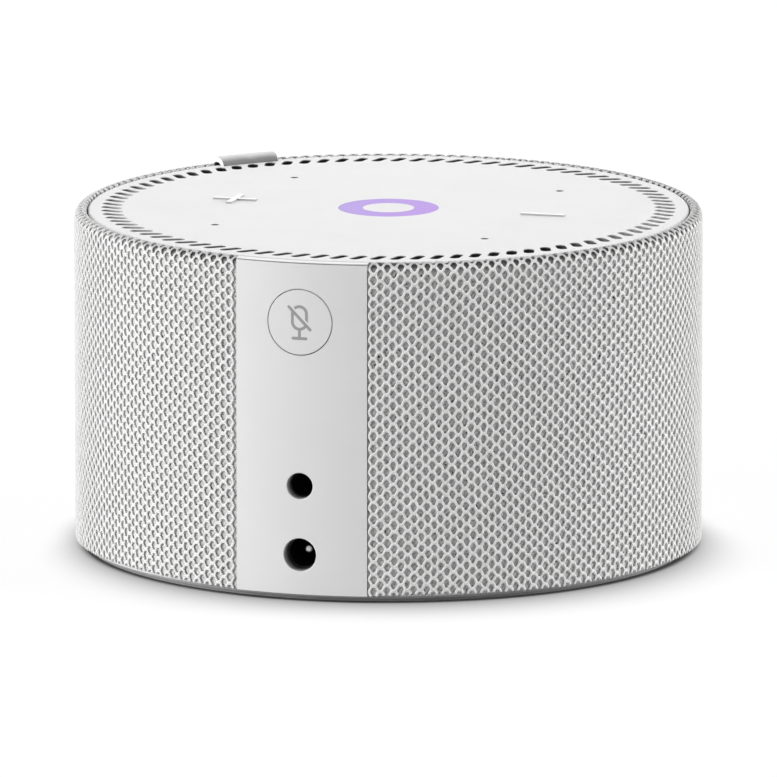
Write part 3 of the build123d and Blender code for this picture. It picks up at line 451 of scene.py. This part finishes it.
# Paler copy of the tab's grey for its narrow sides, as painted light
tab_lit_edge = moulded("tab_lit_edge", srgb(240), srgb(234), 0.6, 0.18, 0.012)
soft_black = moulded("soft_black", srgb(34, 34, 35), srgb(24, 24, 25), 0.7, 0.25, 0.02)
emitter_resin = moulded("emitter_resin", srgb(238, 236, 214), srgb(228, 224, 190), 0.3, 0.3, 0.01)
magnet_ferrite = moulded("magnet_ferrite", srgb(70, 70, 74), srgb(52, 52, 56), 0.55, 0.12, 0.03)
basket_paint = moulded("basket_paint", srgb(38, 38, 40), srgb(28, 28, 30), 0.45, 0.1, 0.015)
steel = metal("steel", srgb(202, 203, 206), srgb(176, 177, 181), 0.32, 0.25, (1, 1, 0.2), 0.006)
brass = metal("brass", srgb(226, 190, 116), srgb(200, 160, 88), 0.28, 0.2, (0.2, 0.2, 1), 0.006)
bright_pin = pin_tip("bright_pin")
board_mask = circuit("board_mask")
gauze = woven("gauze", srgb(40, 40, 42), srgb(12, 12, 13), 0.24, 0.05)
spider_weave = woven("spider_weave", srgb(176, 146, 86), srgb(120, 94, 50), 0.5, 0.08)
gasket_foam = foam("gasket_foam", srgb(38, 38, 40), srgb(14, 14, 15), 0.35)
cone_paper = paper("cone_paper")
coil_wire = winding("coil_wire")
violet_lens = lit_lens("violet_lens")
net_yarn = yarn("net_yarn")
under_cloth = lining("under_cloth")
icon_ink = print_ink("icon_ink")

finishes = {
    white_plastic: ("top_cover", "centre_cap"),
    panel_plastic: ("rear_panel",),
    button_plastic: ("mute_button",),
    shell_plastic: ("body_shell",),
    base_plastic: ("base_plate",),
    foot_rubber: ("base_foot",),
    black_plastic: (
        "audio_jack", "power_jack", "mute_switch", "mute_switch_plunger", "light_shroud", "board_chips",
        "microphones", "edge_connector", "speaker_header", "speaker_chamber"),
    tab_tape: ("pull_tab",),
    soft_black: ("speaker_surround", "speaker_leads"),
    emitter_resin: ("light_emitters",),
    magnet_ferrite: ("speaker_magnet",),
    basket_paint: ("speaker_basket",),
    steel: (
        "base_screws", "chamber_screws", "io_board_screws", "top_board_screws", "speaker_screws", "shield_can",
        "speaker_plate", "speaker_yoke"),
    brass: ("audio_jack_contacts", "power_jack_contacts", "speaker_terminals"),
    bright_pin: ("power_jack_pin",),
    board_mask: ("io_board", "top_board"),
    gauze: ("slot_cloth",),
    spider_weave: ("speaker_spider",),
    gasket_foam: ("speaker_gasket", "mic_gaskets", "touch_pads"),
    cone_paper: ("speaker_cone", "dust_cap"),
    coil_wire: ("voice_coil",),
    violet_lens: ("light_lens",),
    under_cloth: ("fabric_sleeve",),
}
for finish, names in finishes.items():
    for name in names:
        nodes[name].data.materials.clear()
        nodes[name].data.materials.append(finish)


def add_piece(name, points, faces, material, body, slot, stands_for=(), flat_map=None):
    """A smooth mesh piece from points in millimetres, riding on a body if one is given."""
    mesh = bpy.data.meshes.new(name)
    points = np.asarray(points, float).reshape(-1, 3) * MM
    sizes = np.array([len(face) for face in faces])
    corners = np.concatenate(list(faces))
    mesh.vertices.add(len(points))
    mesh.vertices.foreach_set("co", points.ravel())
    mesh.loops.add(len(corners))
    mesh.loops.foreach_set("vertex_index", corners.astype(np.int32))
    mesh.polygons.add(len(sizes))
    mesh.polygons.foreach_set("loop_start", np.concatenate([[0], np.cumsum(sizes)[:-1]]).astype(np.int32))
    mesh.polygons.foreach_set("use_smooth", np.ones(len(sizes), bool))
    if flat_map is not None:
        mesh.uv_layers.new(name="flat").data.foreach_set("uv", np.asarray(flat_map, np.float32).ravel())
    mesh.update(calc_edges=True)
    mesh.validate()
    mesh.materials.append(material)
    piece = bpy.data.objects.new(name, mesh)
    bpy.context.scene.collection.objects.link(piece)
    if body:
        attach(piece, body)
    if stands_for:
        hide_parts(*stands_for)
    return piece


def grid_faces(rows, columns, wrap=False):
    """Four-cornered faces of a grid of points, closed on itself across if wrapped."""
    across = columns if wrap else columns - 1
    i, j = np.meshgrid(np.arange(rows - 1), np.arange(across), indexing="ij")
    k = (j + 1) % columns
    here, above = i * columns, (i + 1) * columns
    return np.stack([here + j, here + k, above + k, above + j], -1).reshape(-1, 4)


def tube_faces(rings, sides):
    """Faces of a closed tube: its wall and a cap at each end, the caps last."""
    wall = [list(face) for face in grid_faces(rings, sides, wrap=True)]
    return wall + [list(range(sides - 1, -1, -1)), list(range((rings - 1) * sides, rings * sides))]


def turned(profile, angles):
    """Points of a profile of (radius, height) turned to each of the angles."""
    profile = np.asarray(profile, float)
    radius, height = profile[None, :, 0], profile[None, :, 1]
    angles = angles[:, None]
    return np.stack([radius * np.cos(angles), radius * np.sin(angles), height + 0 * angles], -1)


# Sizes of the sleeve, in millimetres. Arcs are measured along the body from the rear middle, towards +X.
sleeve_low, sleeve_high = (np.array(corner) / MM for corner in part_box("fabric_sleeve"))
sleeve_radius, sleeve_top, hem = sleeve_high[0], sleeve_high[2], sleeve_low[2]
rim_radius = 43.15
bead_inner = 0.5
bead_radius = rim_radius + bead_inner
bead_outer = sleeve_radius - bead_radius
bead_start = sleeve_top - bead_outer
window_half = 9.625
arc_first = sleeve_radius * math.asin(window_half / sleeve_radius)
arc_last = 2 * math.pi * sleeve_radius - arc_first
tab_angle = math.radians(135.1)
tab_width = 9.8
tab_arc = sleeve_radius * (tab_angle + math.pi / 2)
tab_foot = 47.2

# Net of zigzag yarns. Neighbours swing against each other and are tied by a stitch where they come close.
yarn_width, yarn_depth = 0.38, 0.22
yarn_sides = 6
stitch_half, stitch_depth, stitch_drop = 0.33, 0.22, 0.08
yarn_turn = 2 * math.pi * np.arange(yarn_sides) / yarn_sides
columns_round = 304
column_pitch = 2 * math.pi * sleeve_radius / columns_round
row_half = 0.856
ring_step = 0.25
map_pitch = 0.26
knot_spread, knot_bend, knot_sink = 0.26, 0.3, 0.03
arc_jitter, row_jitter = 0.03, 0.035
first_column = arc_first + 0.39
column_count = int((arc_last - first_column) / column_pitch) + 1
first_row = hem - 1.02
yarn_start = 1.25
net_inset = yarn_depth / 2 + 0.02
roll_big, roll_small = bead_outer - net_inset, bead_inner - net_inset
roll_end = bead_start + roll_big * math.pi / 2
tuck = 0.4
tuck_start = roll_end + roll_small * math.pi / 2
net_end = tuck_start + tuck


def net_line(s):
    """Radius, height and outward direction on the net's middle line, s up from the floor."""
    angle = np.clip((s - bead_start) / roll_big, 0, math.pi / 2)
    angle = angle + np.clip((s - roll_end) / roll_small, 0, math.pi / 2)
    reach = np.where(s > roll_end, roll_small, roll_big)
    radius = bead_radius + reach * np.cos(angle)
    height = bead_start + roll_big - reach + reach * np.sin(angle)
    height = height + np.minimum(s - bead_start, 0) - np.maximum(s - tuck_start, 0)
    return radius, height, np.cos(angle), np.sin(angle)


def round_body(arc, radius, height):
    """Points at a place along the body, a radius and a height."""
    angle = arc / sleeve_radius
    return np.stack([radius * np.sin(angle), -radius * np.cos(angle), height + 0 * arc], -1)


rng = np.random.default_rng(11)
row_count = int((net_end - first_row) / row_half) + 2
boundary, row = np.meshgrid(np.arange(column_count + 1), np.arange(row_count), indexing="ij")
knot_arc = first_column + (boundary - 0.5) * column_pitch
knot_s = first_row + row * row_half
edge_room = np.minimum(knot_arc - arc_first, arc_last - knot_arc)
ease = np.clip(edge_room / 6, 0, 1)
drift_arc = 0.15 * np.sin(knot_s / 7.3 + knot_arc / 31) + 0.08 * np.sin(knot_s / 3.1 - knot_arc / 17)
drift_s = 0.2 * np.sin(knot_arc / 19 + 0.6) + 0.1 * np.sin(knot_arc / 7.7 + knot_s / 11)
knot_arc = knot_arc + ease * (drift_arc + rng.normal(0, arc_jitter, knot_arc.shape))
knot_s = knot_s + ease * drift_s + rng.normal(0, row_jitter, knot_s.shape)


def tube_map(rings, count):
    """Flat map of count tubes: millimetres along, turns across."""
    run = np.repeat(np.arange(rings - 1) * map_pitch, yarn_sides)
    turn = np.tile(np.arange(yarn_sides), rings - 1) / yarn_sides
    far, next_turn = run + map_pitch, turn + 1 / yarn_sides
    pairs = (run, turn), (run, next_turn), (far, next_turn), (far, turn)
    return np.tile(np.stack([np.stack(pair, -1) for pair in pairs], 1), (count, 1, 1))


def make_stitches(first, last, end):
    """Short ties across the knots between neighbouring yarns."""
    boundary, row = np.meshgrid(np.arange(first, last), np.arange(2, row_count), indexing="ij")
    tied = ((boundary + row) % 2 == 0) & (knot_s[boundary, row] < end - 0.35)
    arc, s = knot_arc[boundary[tied], row[tied]], knot_s[boundary[tied], row[tied]] - stitch_drop
    reach = knot_spread * np.array([-1, 0, 1])
    half = stitch_half * np.array([1.0, 0.9, 1.0])
    path_arc = arc[:, None, None] + reach[None, :, None] + 0 * yarn_turn
    path_s = s[:, None, None] + half[None, :, None] * np.cos(yarn_turn)
    lift = stitch_depth / 2 * np.sin(yarn_turn)
    radius, height, out_r, out_z = net_line(path_s)
    points = round_body(path_arc, radius + lift * out_r, height + lift * out_z)
    tie = grid_faces(3, yarn_sides, wrap=True)[:, ::-1]
    faces = tie[None] + 3 * yarn_sides * np.arange(len(arc))[:, None, None]
    return points.reshape(-1, 3), faces.reshape(-1, 4)


def make_net(name, first, last, end):
    """Tubes for the yarns from first up to last, stopped at the given place along the net's line."""
    column = np.arange(first, last)[:, None]
    row = np.arange(row_count)[None, :]
    right = (column + row) % 2
    arc = knot_arc[column + right, row] + knot_spread * (1 - 2 * right)
    s = knot_s[column + right, row]
    step = np.arange(yarn_start, (end - first_row) / row_half, ring_step)
    low = np.minimum(step.astype(int), row_count - 2)
    share = step - low
    bend = share - knot_bend * np.sin(2 * math.pi * share) / (2 * math.pi)
    path_arc = arc[:, low] + (arc[:, low + 1] - arc[:, low]) * bend
    path_s = np.minimum(s[:, low] + (s[:, low + 1] - s[:, low]) * share, net_end)
    lift = -knot_sink * np.cos(2 * math.pi * share)
    radius, height, out_r, out_z = net_line(path_s)
    middle = round_body(path_arc, radius + lift * out_r, height + lift * out_z)
    angle = path_arc / sleeve_radius
    normal = np.stack([out_r * np.sin(angle), -out_r * np.cos(angle), out_z], -1)
    along = np.gradient(middle, axis=1)
    along /= np.linalg.norm(along, axis=2, keepdims=True)
    side = np.cross(normal, along)
    side /= np.linalg.norm(side, axis=2, keepdims=True)
    ring = (side[:, :, None] * (np.cos(yarn_turn) * yarn_width / 2)[:, None]
            + normal[:, :, None] * (np.sin(yarn_turn) * yarn_depth / 2)[:, None])
    points = (middle[:, :, None] + ring).reshape(-1, 3)
    tube = grid_faces(len(step), yarn_sides, wrap=True)
    size = len(step) * yarn_sides
    tubes = (tube[None] + size * np.arange(last - first)[:, None, None]).reshape(-1, 4)
    tie_points, ties = make_stitches(max(first, 1), last, end)
    faces = np.concatenate([tubes, ties + len(points)])
    flat_map = np.concatenate([tube_map(len(step), last - first), tube_map(3, len(ties) // (2 * yarn_sides))])
    points = np.concatenate([points, tie_points])
    return add_piece(name, points, faces, net_yarn, "housing", "fabric_grey", ("fabric_sleeve",), flat_map)


# The net comes in parts of less than 200,000 triangles, and stops lower where the tab goes into the bead
tab_reach = tab_width / 2 + 0.3
tab_first = math.ceil((tab_arc - tab_reach - first_column) / column_pitch)
tab_last = math.ceil((tab_arc + tab_reach - first_column) / column_pitch)
tab_stop = tab_foot - 0.05
net_cuts = [0, 58, 116, tab_first, tab_last, 243, column_count]
nets = [
    make_net(f"sleeve_net_{i}", first, last, tab_stop if first == tab_first else net_end)
    for i, (first, last) in enumerate(zip(net_cuts, net_cuts[1:]))]

# Under-cloth: one sheet round the shell and over its rim, open at the panel and where the tab goes in
lining_inset, lining_end, lining_gap = 0.36, 0.33, 0.03
lining_rows, lining_columns = 40, 300
lining_radius = sleeve_radius - lining_inset
lining_roll = lining_radius - bead_radius
turn_up = np.linspace(0, math.pi / 2, 10)[1:]
over = np.linspace(bead_radius, rim_radius + lining_end, 4)[1:]
line_radius = np.concatenate([
    np.full(lining_rows, lining_radius), bead_radius + lining_roll * np.cos(turn_up), over])
line_height = np.concatenate([
    np.linspace(hem, bead_start, lining_rows), bead_start + lining_roll * np.sin(turn_up),
    np.full(len(over), bead_start + lining_roll)])
line_run = np.concatenate([[0], np.cumsum(np.hypot(np.diff(line_radius), np.diff(line_height)))])
lining_arc = np.linspace(arc_first + lining_gap, arc_last - lining_gap, lining_columns)
sheet_points = round_body(lining_arc[None, :], line_radius[:, None], line_height[:, None])
sheet_faces = grid_faces(len(line_radius), len(lining_arc))
middle_arc = (lining_arc[:-1] + lining_arc[1:]) / 2
under_tab = np.tile(np.abs(middle_arc - tab_arc) < tab_reach, len(line_radius) - 1)
past_rim = np.repeat(np.arange(len(line_radius) - 1) >= lining_rows - 1, len(lining_arc) - 1)
sheet_faces = sheet_faces[~(under_tab & past_rim)]
flat_points = np.stack(np.meshgrid(line_run, lining_arc, indexing="ij")[::-1], -1).reshape(-1, 2)
sleeve = add_piece(
    "sleeve_lining", sheet_points, sheet_faces, under_cloth, "housing", "fabric_grey", ("fabric_sleeve",),
    flat_points[sheet_faces])

# Pull tab: a soft strip bent over the rim, from the cover's notch into the fabric's bead
tab_thickness, tab_bend = 0.8, 1.2
tab_corners = np.array([(41.9, 46.6), (41.9, 49.12), (44.6, 49.12), (44.6, 47.3)])


def rounded_line(corners, radius, steps):
    """Line through the corners with each inner corner rounded to the radius."""
    line = [corners[0]]
    for before, corner, after in zip(corners, corners[1:], corners[2:]):
        back, ahead = before - corner, after - corner
        back, ahead = back / np.linalg.norm(back), ahead / np.linalg.norm(ahead)
        half = math.acos(np.clip(np.dot(back, ahead), -1, 1)) / 2
        middle = corner + (back + ahead) / np.linalg.norm(back + ahead) * radius / math.sin(half)
        first, last = corner + back * radius / math.tan(half), corner + ahead * radius / math.tan(half)
        for share in np.linspace(0, 1, steps):
            toward = first + (last - first) * share - middle
            line.append(middle + toward / np.linalg.norm(toward) * radius)
    return np.array(line + [corners[-1]])


tab_line = rounded_line(tab_corners, tab_bend, 14)
tab_slope = np.gradient(tab_line, axis=0)
tab_slope /= np.linalg.norm(tab_slope, axis=1, keepdims=True)
tab_slope_r, tab_slope_z = tab_slope[:, 0, None], tab_slope[:, 1, None]
edge_round = 0.1
corner_turn = np.linspace(0, math.pi / 2, 4)
corner_x = tab_width / 2 - edge_round + edge_round * np.cos(corner_turn)
corner_y = tab_thickness / 2 - edge_round + edge_round * np.sin(corner_turn)
across = np.linspace(corner_x[-1], -corner_x[-1], 17)[1:-1]
upper_x = np.concatenate([corner_x, across, -corner_x[::-1]])
upper_y = np.concatenate([corner_y, np.full(len(across), tab_thickness / 2), corner_y[::-1]])
section_x = np.concatenate([upper_x, upper_x[::-1]])
section_y = np.concatenate([upper_y, -upper_y[::-1]])
points_r = tab_line[:, 0, None] - section_y * tab_slope_z
points_z = tab_line[:, 1, None] + section_y * tab_slope_r
points_angle = tab_angle + section_x / sleeve_radius
tab_points = np.stack([points_r * np.cos(points_angle), points_r * np.sin(points_angle), points_z], -1)
tab_faces = tube_faces(len(tab_line), len(section_x))
tab = add_piece("soft_tab", tab_points, tab_faces, tab_tape, "housing", "tab_soft", ("pull_tab",))
tab.data.materials.append(tab_lit_edge)
# The narrow sides along the rim get a paler copy of the strip's plastic as painted light
along_rim = Vector((-math.sin(tab_angle), math.cos(tab_angle), 0))
for face in tab.data.polygons:
    face.material_index = int(abs(face.normal.dot(along_rim)) > 0.6)


# Crossed-out microphone, printed on the mute button
icon_half_width, icon_stroke, icon_base = 1.03, 0.42, 0.95
icon_top, icon_low, icon_foot = 42.1, 38.88, 37.56
slash_start, slash_end = (-1.55, 42.02), (1.55, 38.85)
slash_gap = 0.24
icon_skin = 0.012


def stroke(mesh, line, width, rounded=True):
    """Flat ribbon along a line of (x, z) points, with round or square ends."""
    line = np.asarray(line, float)
    along = np.gradient(line, axis=0)
    along /= np.linalg.norm(along, axis=1, keepdims=True)
    side = np.stack([-along[:, 1], along[:, 0]], -1) * width / 2
    left = [mesh.verts.new((p[0], p[1], 0)) for p in line + side]
    right = [mesh.verts.new((p[0], p[1], 0)) for p in line - side]
    for i in range(len(line) - 1):
        mesh.faces.new((left[i], right[i], right[i + 1], left[i + 1]))
    if rounded:
        for end, first, second in ((0, left, right), (-1, right, left)):
            turn = np.linspace(0, math.pi, 9)[1:-1]
            out = along[end] * (-1 if end == 0 else 1)
            start = side[end] * (1 if end == 0 else -1)
            cap = [line[end] + start * math.cos(a) + out * width / 2 * math.sin(a) for a in turn]
            mesh.faces.new((first[end], *[mesh.verts.new((p[0], p[1], 0)) for p in cap], second[end]))


def cut(mesh, normal, offset):
    """Keeps what lies on the far side of the slash, moved by the offset along the normal."""
    place = Vector((*slash_start, 0)) + Vector((*normal, 0)) * offset
    bmesh.ops.bisect_plane(
        mesh, geom=mesh.verts[:] + mesh.edges[:] + mesh.faces[:], plane_co=place, plane_no=(*normal, 0),
        clear_inner=True)


def icon_mesh():
    """Points and faces of the sign, laid on the round face of the button."""
    bow = np.linspace(0, math.pi, 25)
    top = [(icon_half_width * math.cos(a), icon_top - icon_half_width * (1 - math.sin(a))) for a in bow]
    bottom = [(-icon_half_width * math.cos(a), icon_low + icon_half_width * (1 - math.sin(a))) for a in bow]
    left = [(-icon_half_width, z) for z in np.linspace(top[-1][1], bottom[0][1], 8)[1:-1]]
    right = [(icon_half_width, z) for z in np.linspace(bottom[-1][1], top[0][1], 8)[1:]]
    capsule = top + left + bottom + right
    slash_run = np.array(slash_end) - np.array(slash_start)
    normal = np.array([-slash_run[1], slash_run[0]]) / np.linalg.norm(slash_run)
    whole = bmesh.new()
    for sign, offset in ((1, icon_stroke / 2 + slash_gap), (-1, 0.0)):
        half = bmesh.new()
        stroke(half, capsule, icon_stroke, rounded=False)
        cut(half, sign * normal, offset)
        kept = bpy.data.meshes.new("kept")
        half.to_mesh(kept)
        half.free()
        whole.from_mesh(kept)
        bpy.data.meshes.remove(kept)
    stroke(whole, [np.array(slash_start) + slash_run * share for share in np.linspace(0, 1, 20)], icon_stroke)
    stroke(whole, [(0, z) for z in np.linspace(icon_low, icon_foot, 8)], icon_stroke, rounded=False)
    stroke(whole, [(x, icon_foot) for x in np.linspace(-icon_base, icon_base, 16)], icon_stroke)
    body = bmesh.ops.extrude_face_region(whole, geom=whole.faces[:])
    raised = {v for v in body["geom"] if isinstance(v, bmesh.types.BMVert)}
    for vert in whole.verts:
        reach = sleeve_radius + (icon_skin if vert in raised else -icon_skin)
        x, z = vert.co.x, vert.co.y
        vert.co = Vector((x, -math.sqrt(reach ** 2 - x ** 2), z))
    bmesh.ops.recalc_face_normals(whole, faces=whole.faces[:])
    whole.verts.index_update()
    points = [tuple(v.co) for v in whole.verts]
    faces = [[v.index for v in f.verts] for f in whole.faces]
    whole.free()
    return points, faces


icon = add_piece("mute_icon", *icon_mesh(), icon_ink, "mute", "black_plastic")
for face in icon.data.polygons:
    face.use_smooth = False


# Soft parts of the loudspeaker, in sectors between the basket and the cone
ring_sectors, sector_steps = 32, 4


def add_ring(name, profile, material, slot, node):
    """A ring turned from the profile in sectors, with sharp edges round each sector's end caps, standing in for
    the node.
    """
    faces = tube_faces(sector_steps, len(profile))
    for i in range(ring_sectors):
        start, end = (2 * math.pi * k / ring_sectors for k in (i, i + 1))
        points = turned(profile, np.linspace(start, end, sector_steps))
        piece = add_piece(f"{name}_{i:02d}", points, faces, material, None, slot, (node,))
        caps = {key for cap in list(piece.data.polygons)[-2:] for key in cap.edge_keys}
        for edge in piece.data.edges:
            edge.use_edge_sharp = edge.key in caps
        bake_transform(piece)


surround_low, surround_high = (np.array(corner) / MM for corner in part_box("speaker_surround"))
roll_middle, roll_outer, roll_inner = 19.3, 2.1, 1.7
surround_thickness, roll_foot = 0.4, 0.19
seat = surround_low[2]
lip_inner, lip_width, flange_outer = 16.2, 0.6, surround_high[0]
under_roll = np.linspace(math.pi, 0, 19)
over_roll = np.linspace(roll_foot, math.pi - roll_foot, 17)
surround_profile = (
    [(lip_inner, seat), (lip_inner + lip_width, seat)]
    + [(roll_middle + roll_inner * math.cos(a), seat + roll_inner * math.sin(a)) for a in under_roll]
    + [(flange_outer, seat), (flange_outer, seat + surround_thickness)]
    + [(roll_middle + roll_outer * math.cos(a), seat + roll_outer * math.sin(a)) for a in over_roll]
    + [(lip_inner, seat + surround_thickness)])
add_ring(
    "surround", surround_profile, soft_black, "surround_rubber", "speaker_surround")

spider_low, spider_high = (np.array(corner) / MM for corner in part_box("speaker_spider"))
spider_base, spider_outer, spider_inner = spider_low[2], spider_high[0], 6.65
spider_thickness, spider_wave = 0.35, 0.55
spider_r = np.linspace(spider_inner, spider_outer, 60)
wave_first, wave_last, wave_count = spider_inner + 0.9, 16.4, 4
wave_share = np.clip((spider_r - wave_first) / (wave_last - wave_first), 0, 1)
spider_z = spider_base + spider_wave * (1 - np.cos(2 * math.pi * wave_count * wave_share)) / 2
spider_profile = [*zip(spider_r, spider_z), *zip(spider_r[::-1], spider_z[::-1] + spider_thickness)]
add_ring(
    "spider", spider_profile, spider_weave, "spider_cloth", "speaker_spider")

# Gauze under the sound slots, sagging a little between its bonded edges
gauze_low, gauze_high = (np.array(corner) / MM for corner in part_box("slot_cloth"))
gauze_inner, gauze_outer = 36.7, gauze_high[0]
gauze_rings, gauze_turns, gauze_drop = 14, 240, 0.12
gauze_r = np.linspace(gauze_inner, gauze_outer, gauze_rings)
gauze_sag = gauze_drop * np.sin(np.linspace(0, math.pi, gauze_rings))
gauze_profile = [
    *zip(gauze_r, gauze_high[2] - gauze_sag), *zip(gauze_r[::-1], gauze_low[2] - gauze_sag[::-1])]
gauze_points = turned(gauze_profile, np.linspace(0, 2 * math.pi, gauze_turns + 1)[:-1])
gauze_faces = grid_faces(gauze_turns + 1, len(gauze_profile), wrap=True) % (gauze_turns * len(gauze_profile))
add_piece("slot_gauze", gauze_points, gauze_faces, gauze, "housing", "cloth_black", ("slot_cloth",))


# Floor, light and camera
def direction(azimuth, elevation):
    """Direction from the part to a place round it. Azimuth 0 is the side of -Y."""
    a, e = math.radians(azimuth), math.radians(elevation)
    return Vector((math.sin(a) * math.cos(e), -math.cos(a) * math.cos(e), math.sin(e)))


# The side that gets the least light, and how far along it the floor's painted shadow grows, in millimetres
dim_side = direction(22, 0)
shade_span = (-5.0, 46.0)
floor_glow = 0.87
floor_half, floor_lines = 4000, 33


def add_floor():
    """A wide pale floor, white to the camera, with a painted shadow where the object stands close above it."""
    s = Surface("floor_paint", Roughness=0.9)
    s.shader.inputs["Specular IOR Level"].default_value = 0.0
    path = s.add("ShaderNodeLightPath").outputs
    seen = s.calc(s.calc(path["Is Camera Ray"], path["Is Glossy Ray"]), path["Is Transmission Ray"])
    paint = s.tint(s.noise(180.0, 2.0), (0.3, srgb(172)), (0.7, srgb(178)))
    s.set("Base Color", s.mix(seen, paint, srgb(105)))
    # Painted shadow: ambient occlusion near the object dims the floor's glow to the camera, wider and darker
    # towards the dim side.
    toward = s.measure("DOT_PRODUCT", s.place(), dim_side)
    reach = s.spread(toward, 5 * MM, 16 * MM, *shade_span)
    open_sky = s.add("ShaderNodeAmbientOcclusion", {"Distance": reach}, samples=24).outputs["AO"]
    closed = s.calc(s.spread(open_sky, 1.0, 0.0, 0.0, 1.0), 1.4, "POWER")
    shade = s.calc(closed, s.spread(toward, 1.15, 2.0, *shade_span), "MULTIPLY")
    s.shader.inputs["Emission Color"].default_value = (1, 1, 1, 1)
    s.set("Emission Strength", s.calc(seen, s.spread(shade, floor_glow, 0.0, 0.0, 1.0), "MULTIPLY"))
    line = np.linspace(-floor_half, floor_half, floor_lines)
    x, y = np.meshgrid(line, line, indexing="ij")
    mesh = bpy.data.meshes.new("floor")
    points = np.stack([x, y, 0 * x], -1).reshape(-1, 3) * MM
    mesh.from_pydata(points.tolist(), [], grid_faces(floor_lines, floor_lines)[:, ::-1].tolist())
    mesh.materials.append(s.material)
    floor = bpy.data.objects.new("floor", mesh)
    bpy.context.scene.collection.objects.link(floor)


def add_sun(name, azimuth, elevation, strength, angle):
    """Broad even light from one side."""
    lamp = bpy.data.lights.new(name, "SUN")
    lamp.energy, lamp.angle = strength, math.radians(angle)
    holder = bpy.data.objects.new(name, lamp)
    towards = direction(azimuth, elevation)
    holder.rotation_mode = "QUATERNION"
    holder.rotation_quaternion = towards.to_track_quat("Z", "Y")
    holder.location = towards * 2
    bpy.context.scene.collection.objects.link(holder)


def add_panel_lamp(name, place, side, power):
    """Square soft lamp above and behind the object, turned to the middle of its top."""
    lamp = bpy.data.lights.new(name, "AREA")
    lamp.energy, lamp.size = power, side * MM
    holder = bpy.data.objects.new(name, lamp)
    holder.location = Vector(place) * MM
    holder.visible_camera = False
    holder.rotation_mode = "QUATERNION"
    holder.rotation_quaternion = (holder.location - Vector((0, 0, cad_high.z))).to_track_quat("Z", "Y")
    bpy.context.scene.collection.objects.link(holder)


def add_world(ambient, dimmed):
    """Light all round, weaker from the dim side, seen as white by the camera and in reflections."""
    world = bpy.data.worlds.new("studio")
    bpy.context.scene.world = world
    world.use_nodes = True
    tree = world.node_tree
    background = tree.nodes["Background"]
    background.inputs["Color"].default_value = (1, 1, 1, 1)
    path = tree.nodes.new("ShaderNodeLightPath").outputs
    toward, level = tree.nodes.new("ShaderNodeVectorMath"), tree.nodes.new("ShaderNodeMapRange")
    toward.operation = "DOT_PRODUCT"
    toward.inputs[1].default_value = dim_side
    tree.links.new(tree.nodes.new("ShaderNodeTexCoord").outputs["Generated"], toward.inputs[0])
    tree.links.new(toward.outputs["Value"], level.inputs["Value"])
    level.inputs["To Min"].default_value = ambient
    level.inputs["To Max"].default_value = ambient * (1 - dimmed)
    strength = level.outputs["Result"]
    for kind in ("Is Camera Ray", "Is Glossy Ray", "Is Transmission Ray"):
        most = tree.nodes.new("ShaderNodeMath")
        most.operation = "MAXIMUM"
        tree.links.new(strength, most.inputs[0])
        tree.links.new(path[kind], most.inputs[1])
        strength = most.outputs["Value"]
    tree.links.new(strength, background.inputs["Strength"])


def add_camera(azimuth, elevation, target_height, distance, lens):
    """Camera at the photograph's place, turned to a height on the part's axis."""
    camera = bpy.data.cameras.new("camera")
    camera.lens, camera.sensor_width = lens, 36.0
    camera.clip_start, camera.clip_end = 0.05, 50.0
    holder = bpy.data.objects.new("camera", camera)
    back = direction(azimuth, elevation)
    holder.location = Vector((0, 0, target_height * MM)) + back * distance * MM
    holder.rotation_mode = "QUATERNION"
    holder.rotation_quaternion = (-back).to_track_quat("-Z", "Y")
    bpy.context.scene.collection.objects.link(holder)
    bpy.context.scene.camera = holder


add_floor()
add_world(ambient=0.62, dimmed=0.8)
add_sun("key", azimuth=-50, elevation=18, strength=2.58, angle=40)
add_sun("rim", azimuth=105, elevation=18, strength=2.5, angle=40)
add_panel_lamp("top", place=(-45, 125, 140), side=150, power=0.032)
add_camera(photo_azimuth, elevation=10.99, target_height=22.03, distance=1937.1, lens=625.6)
bpy.context.scene.view_settings.view_transform = "Standard"
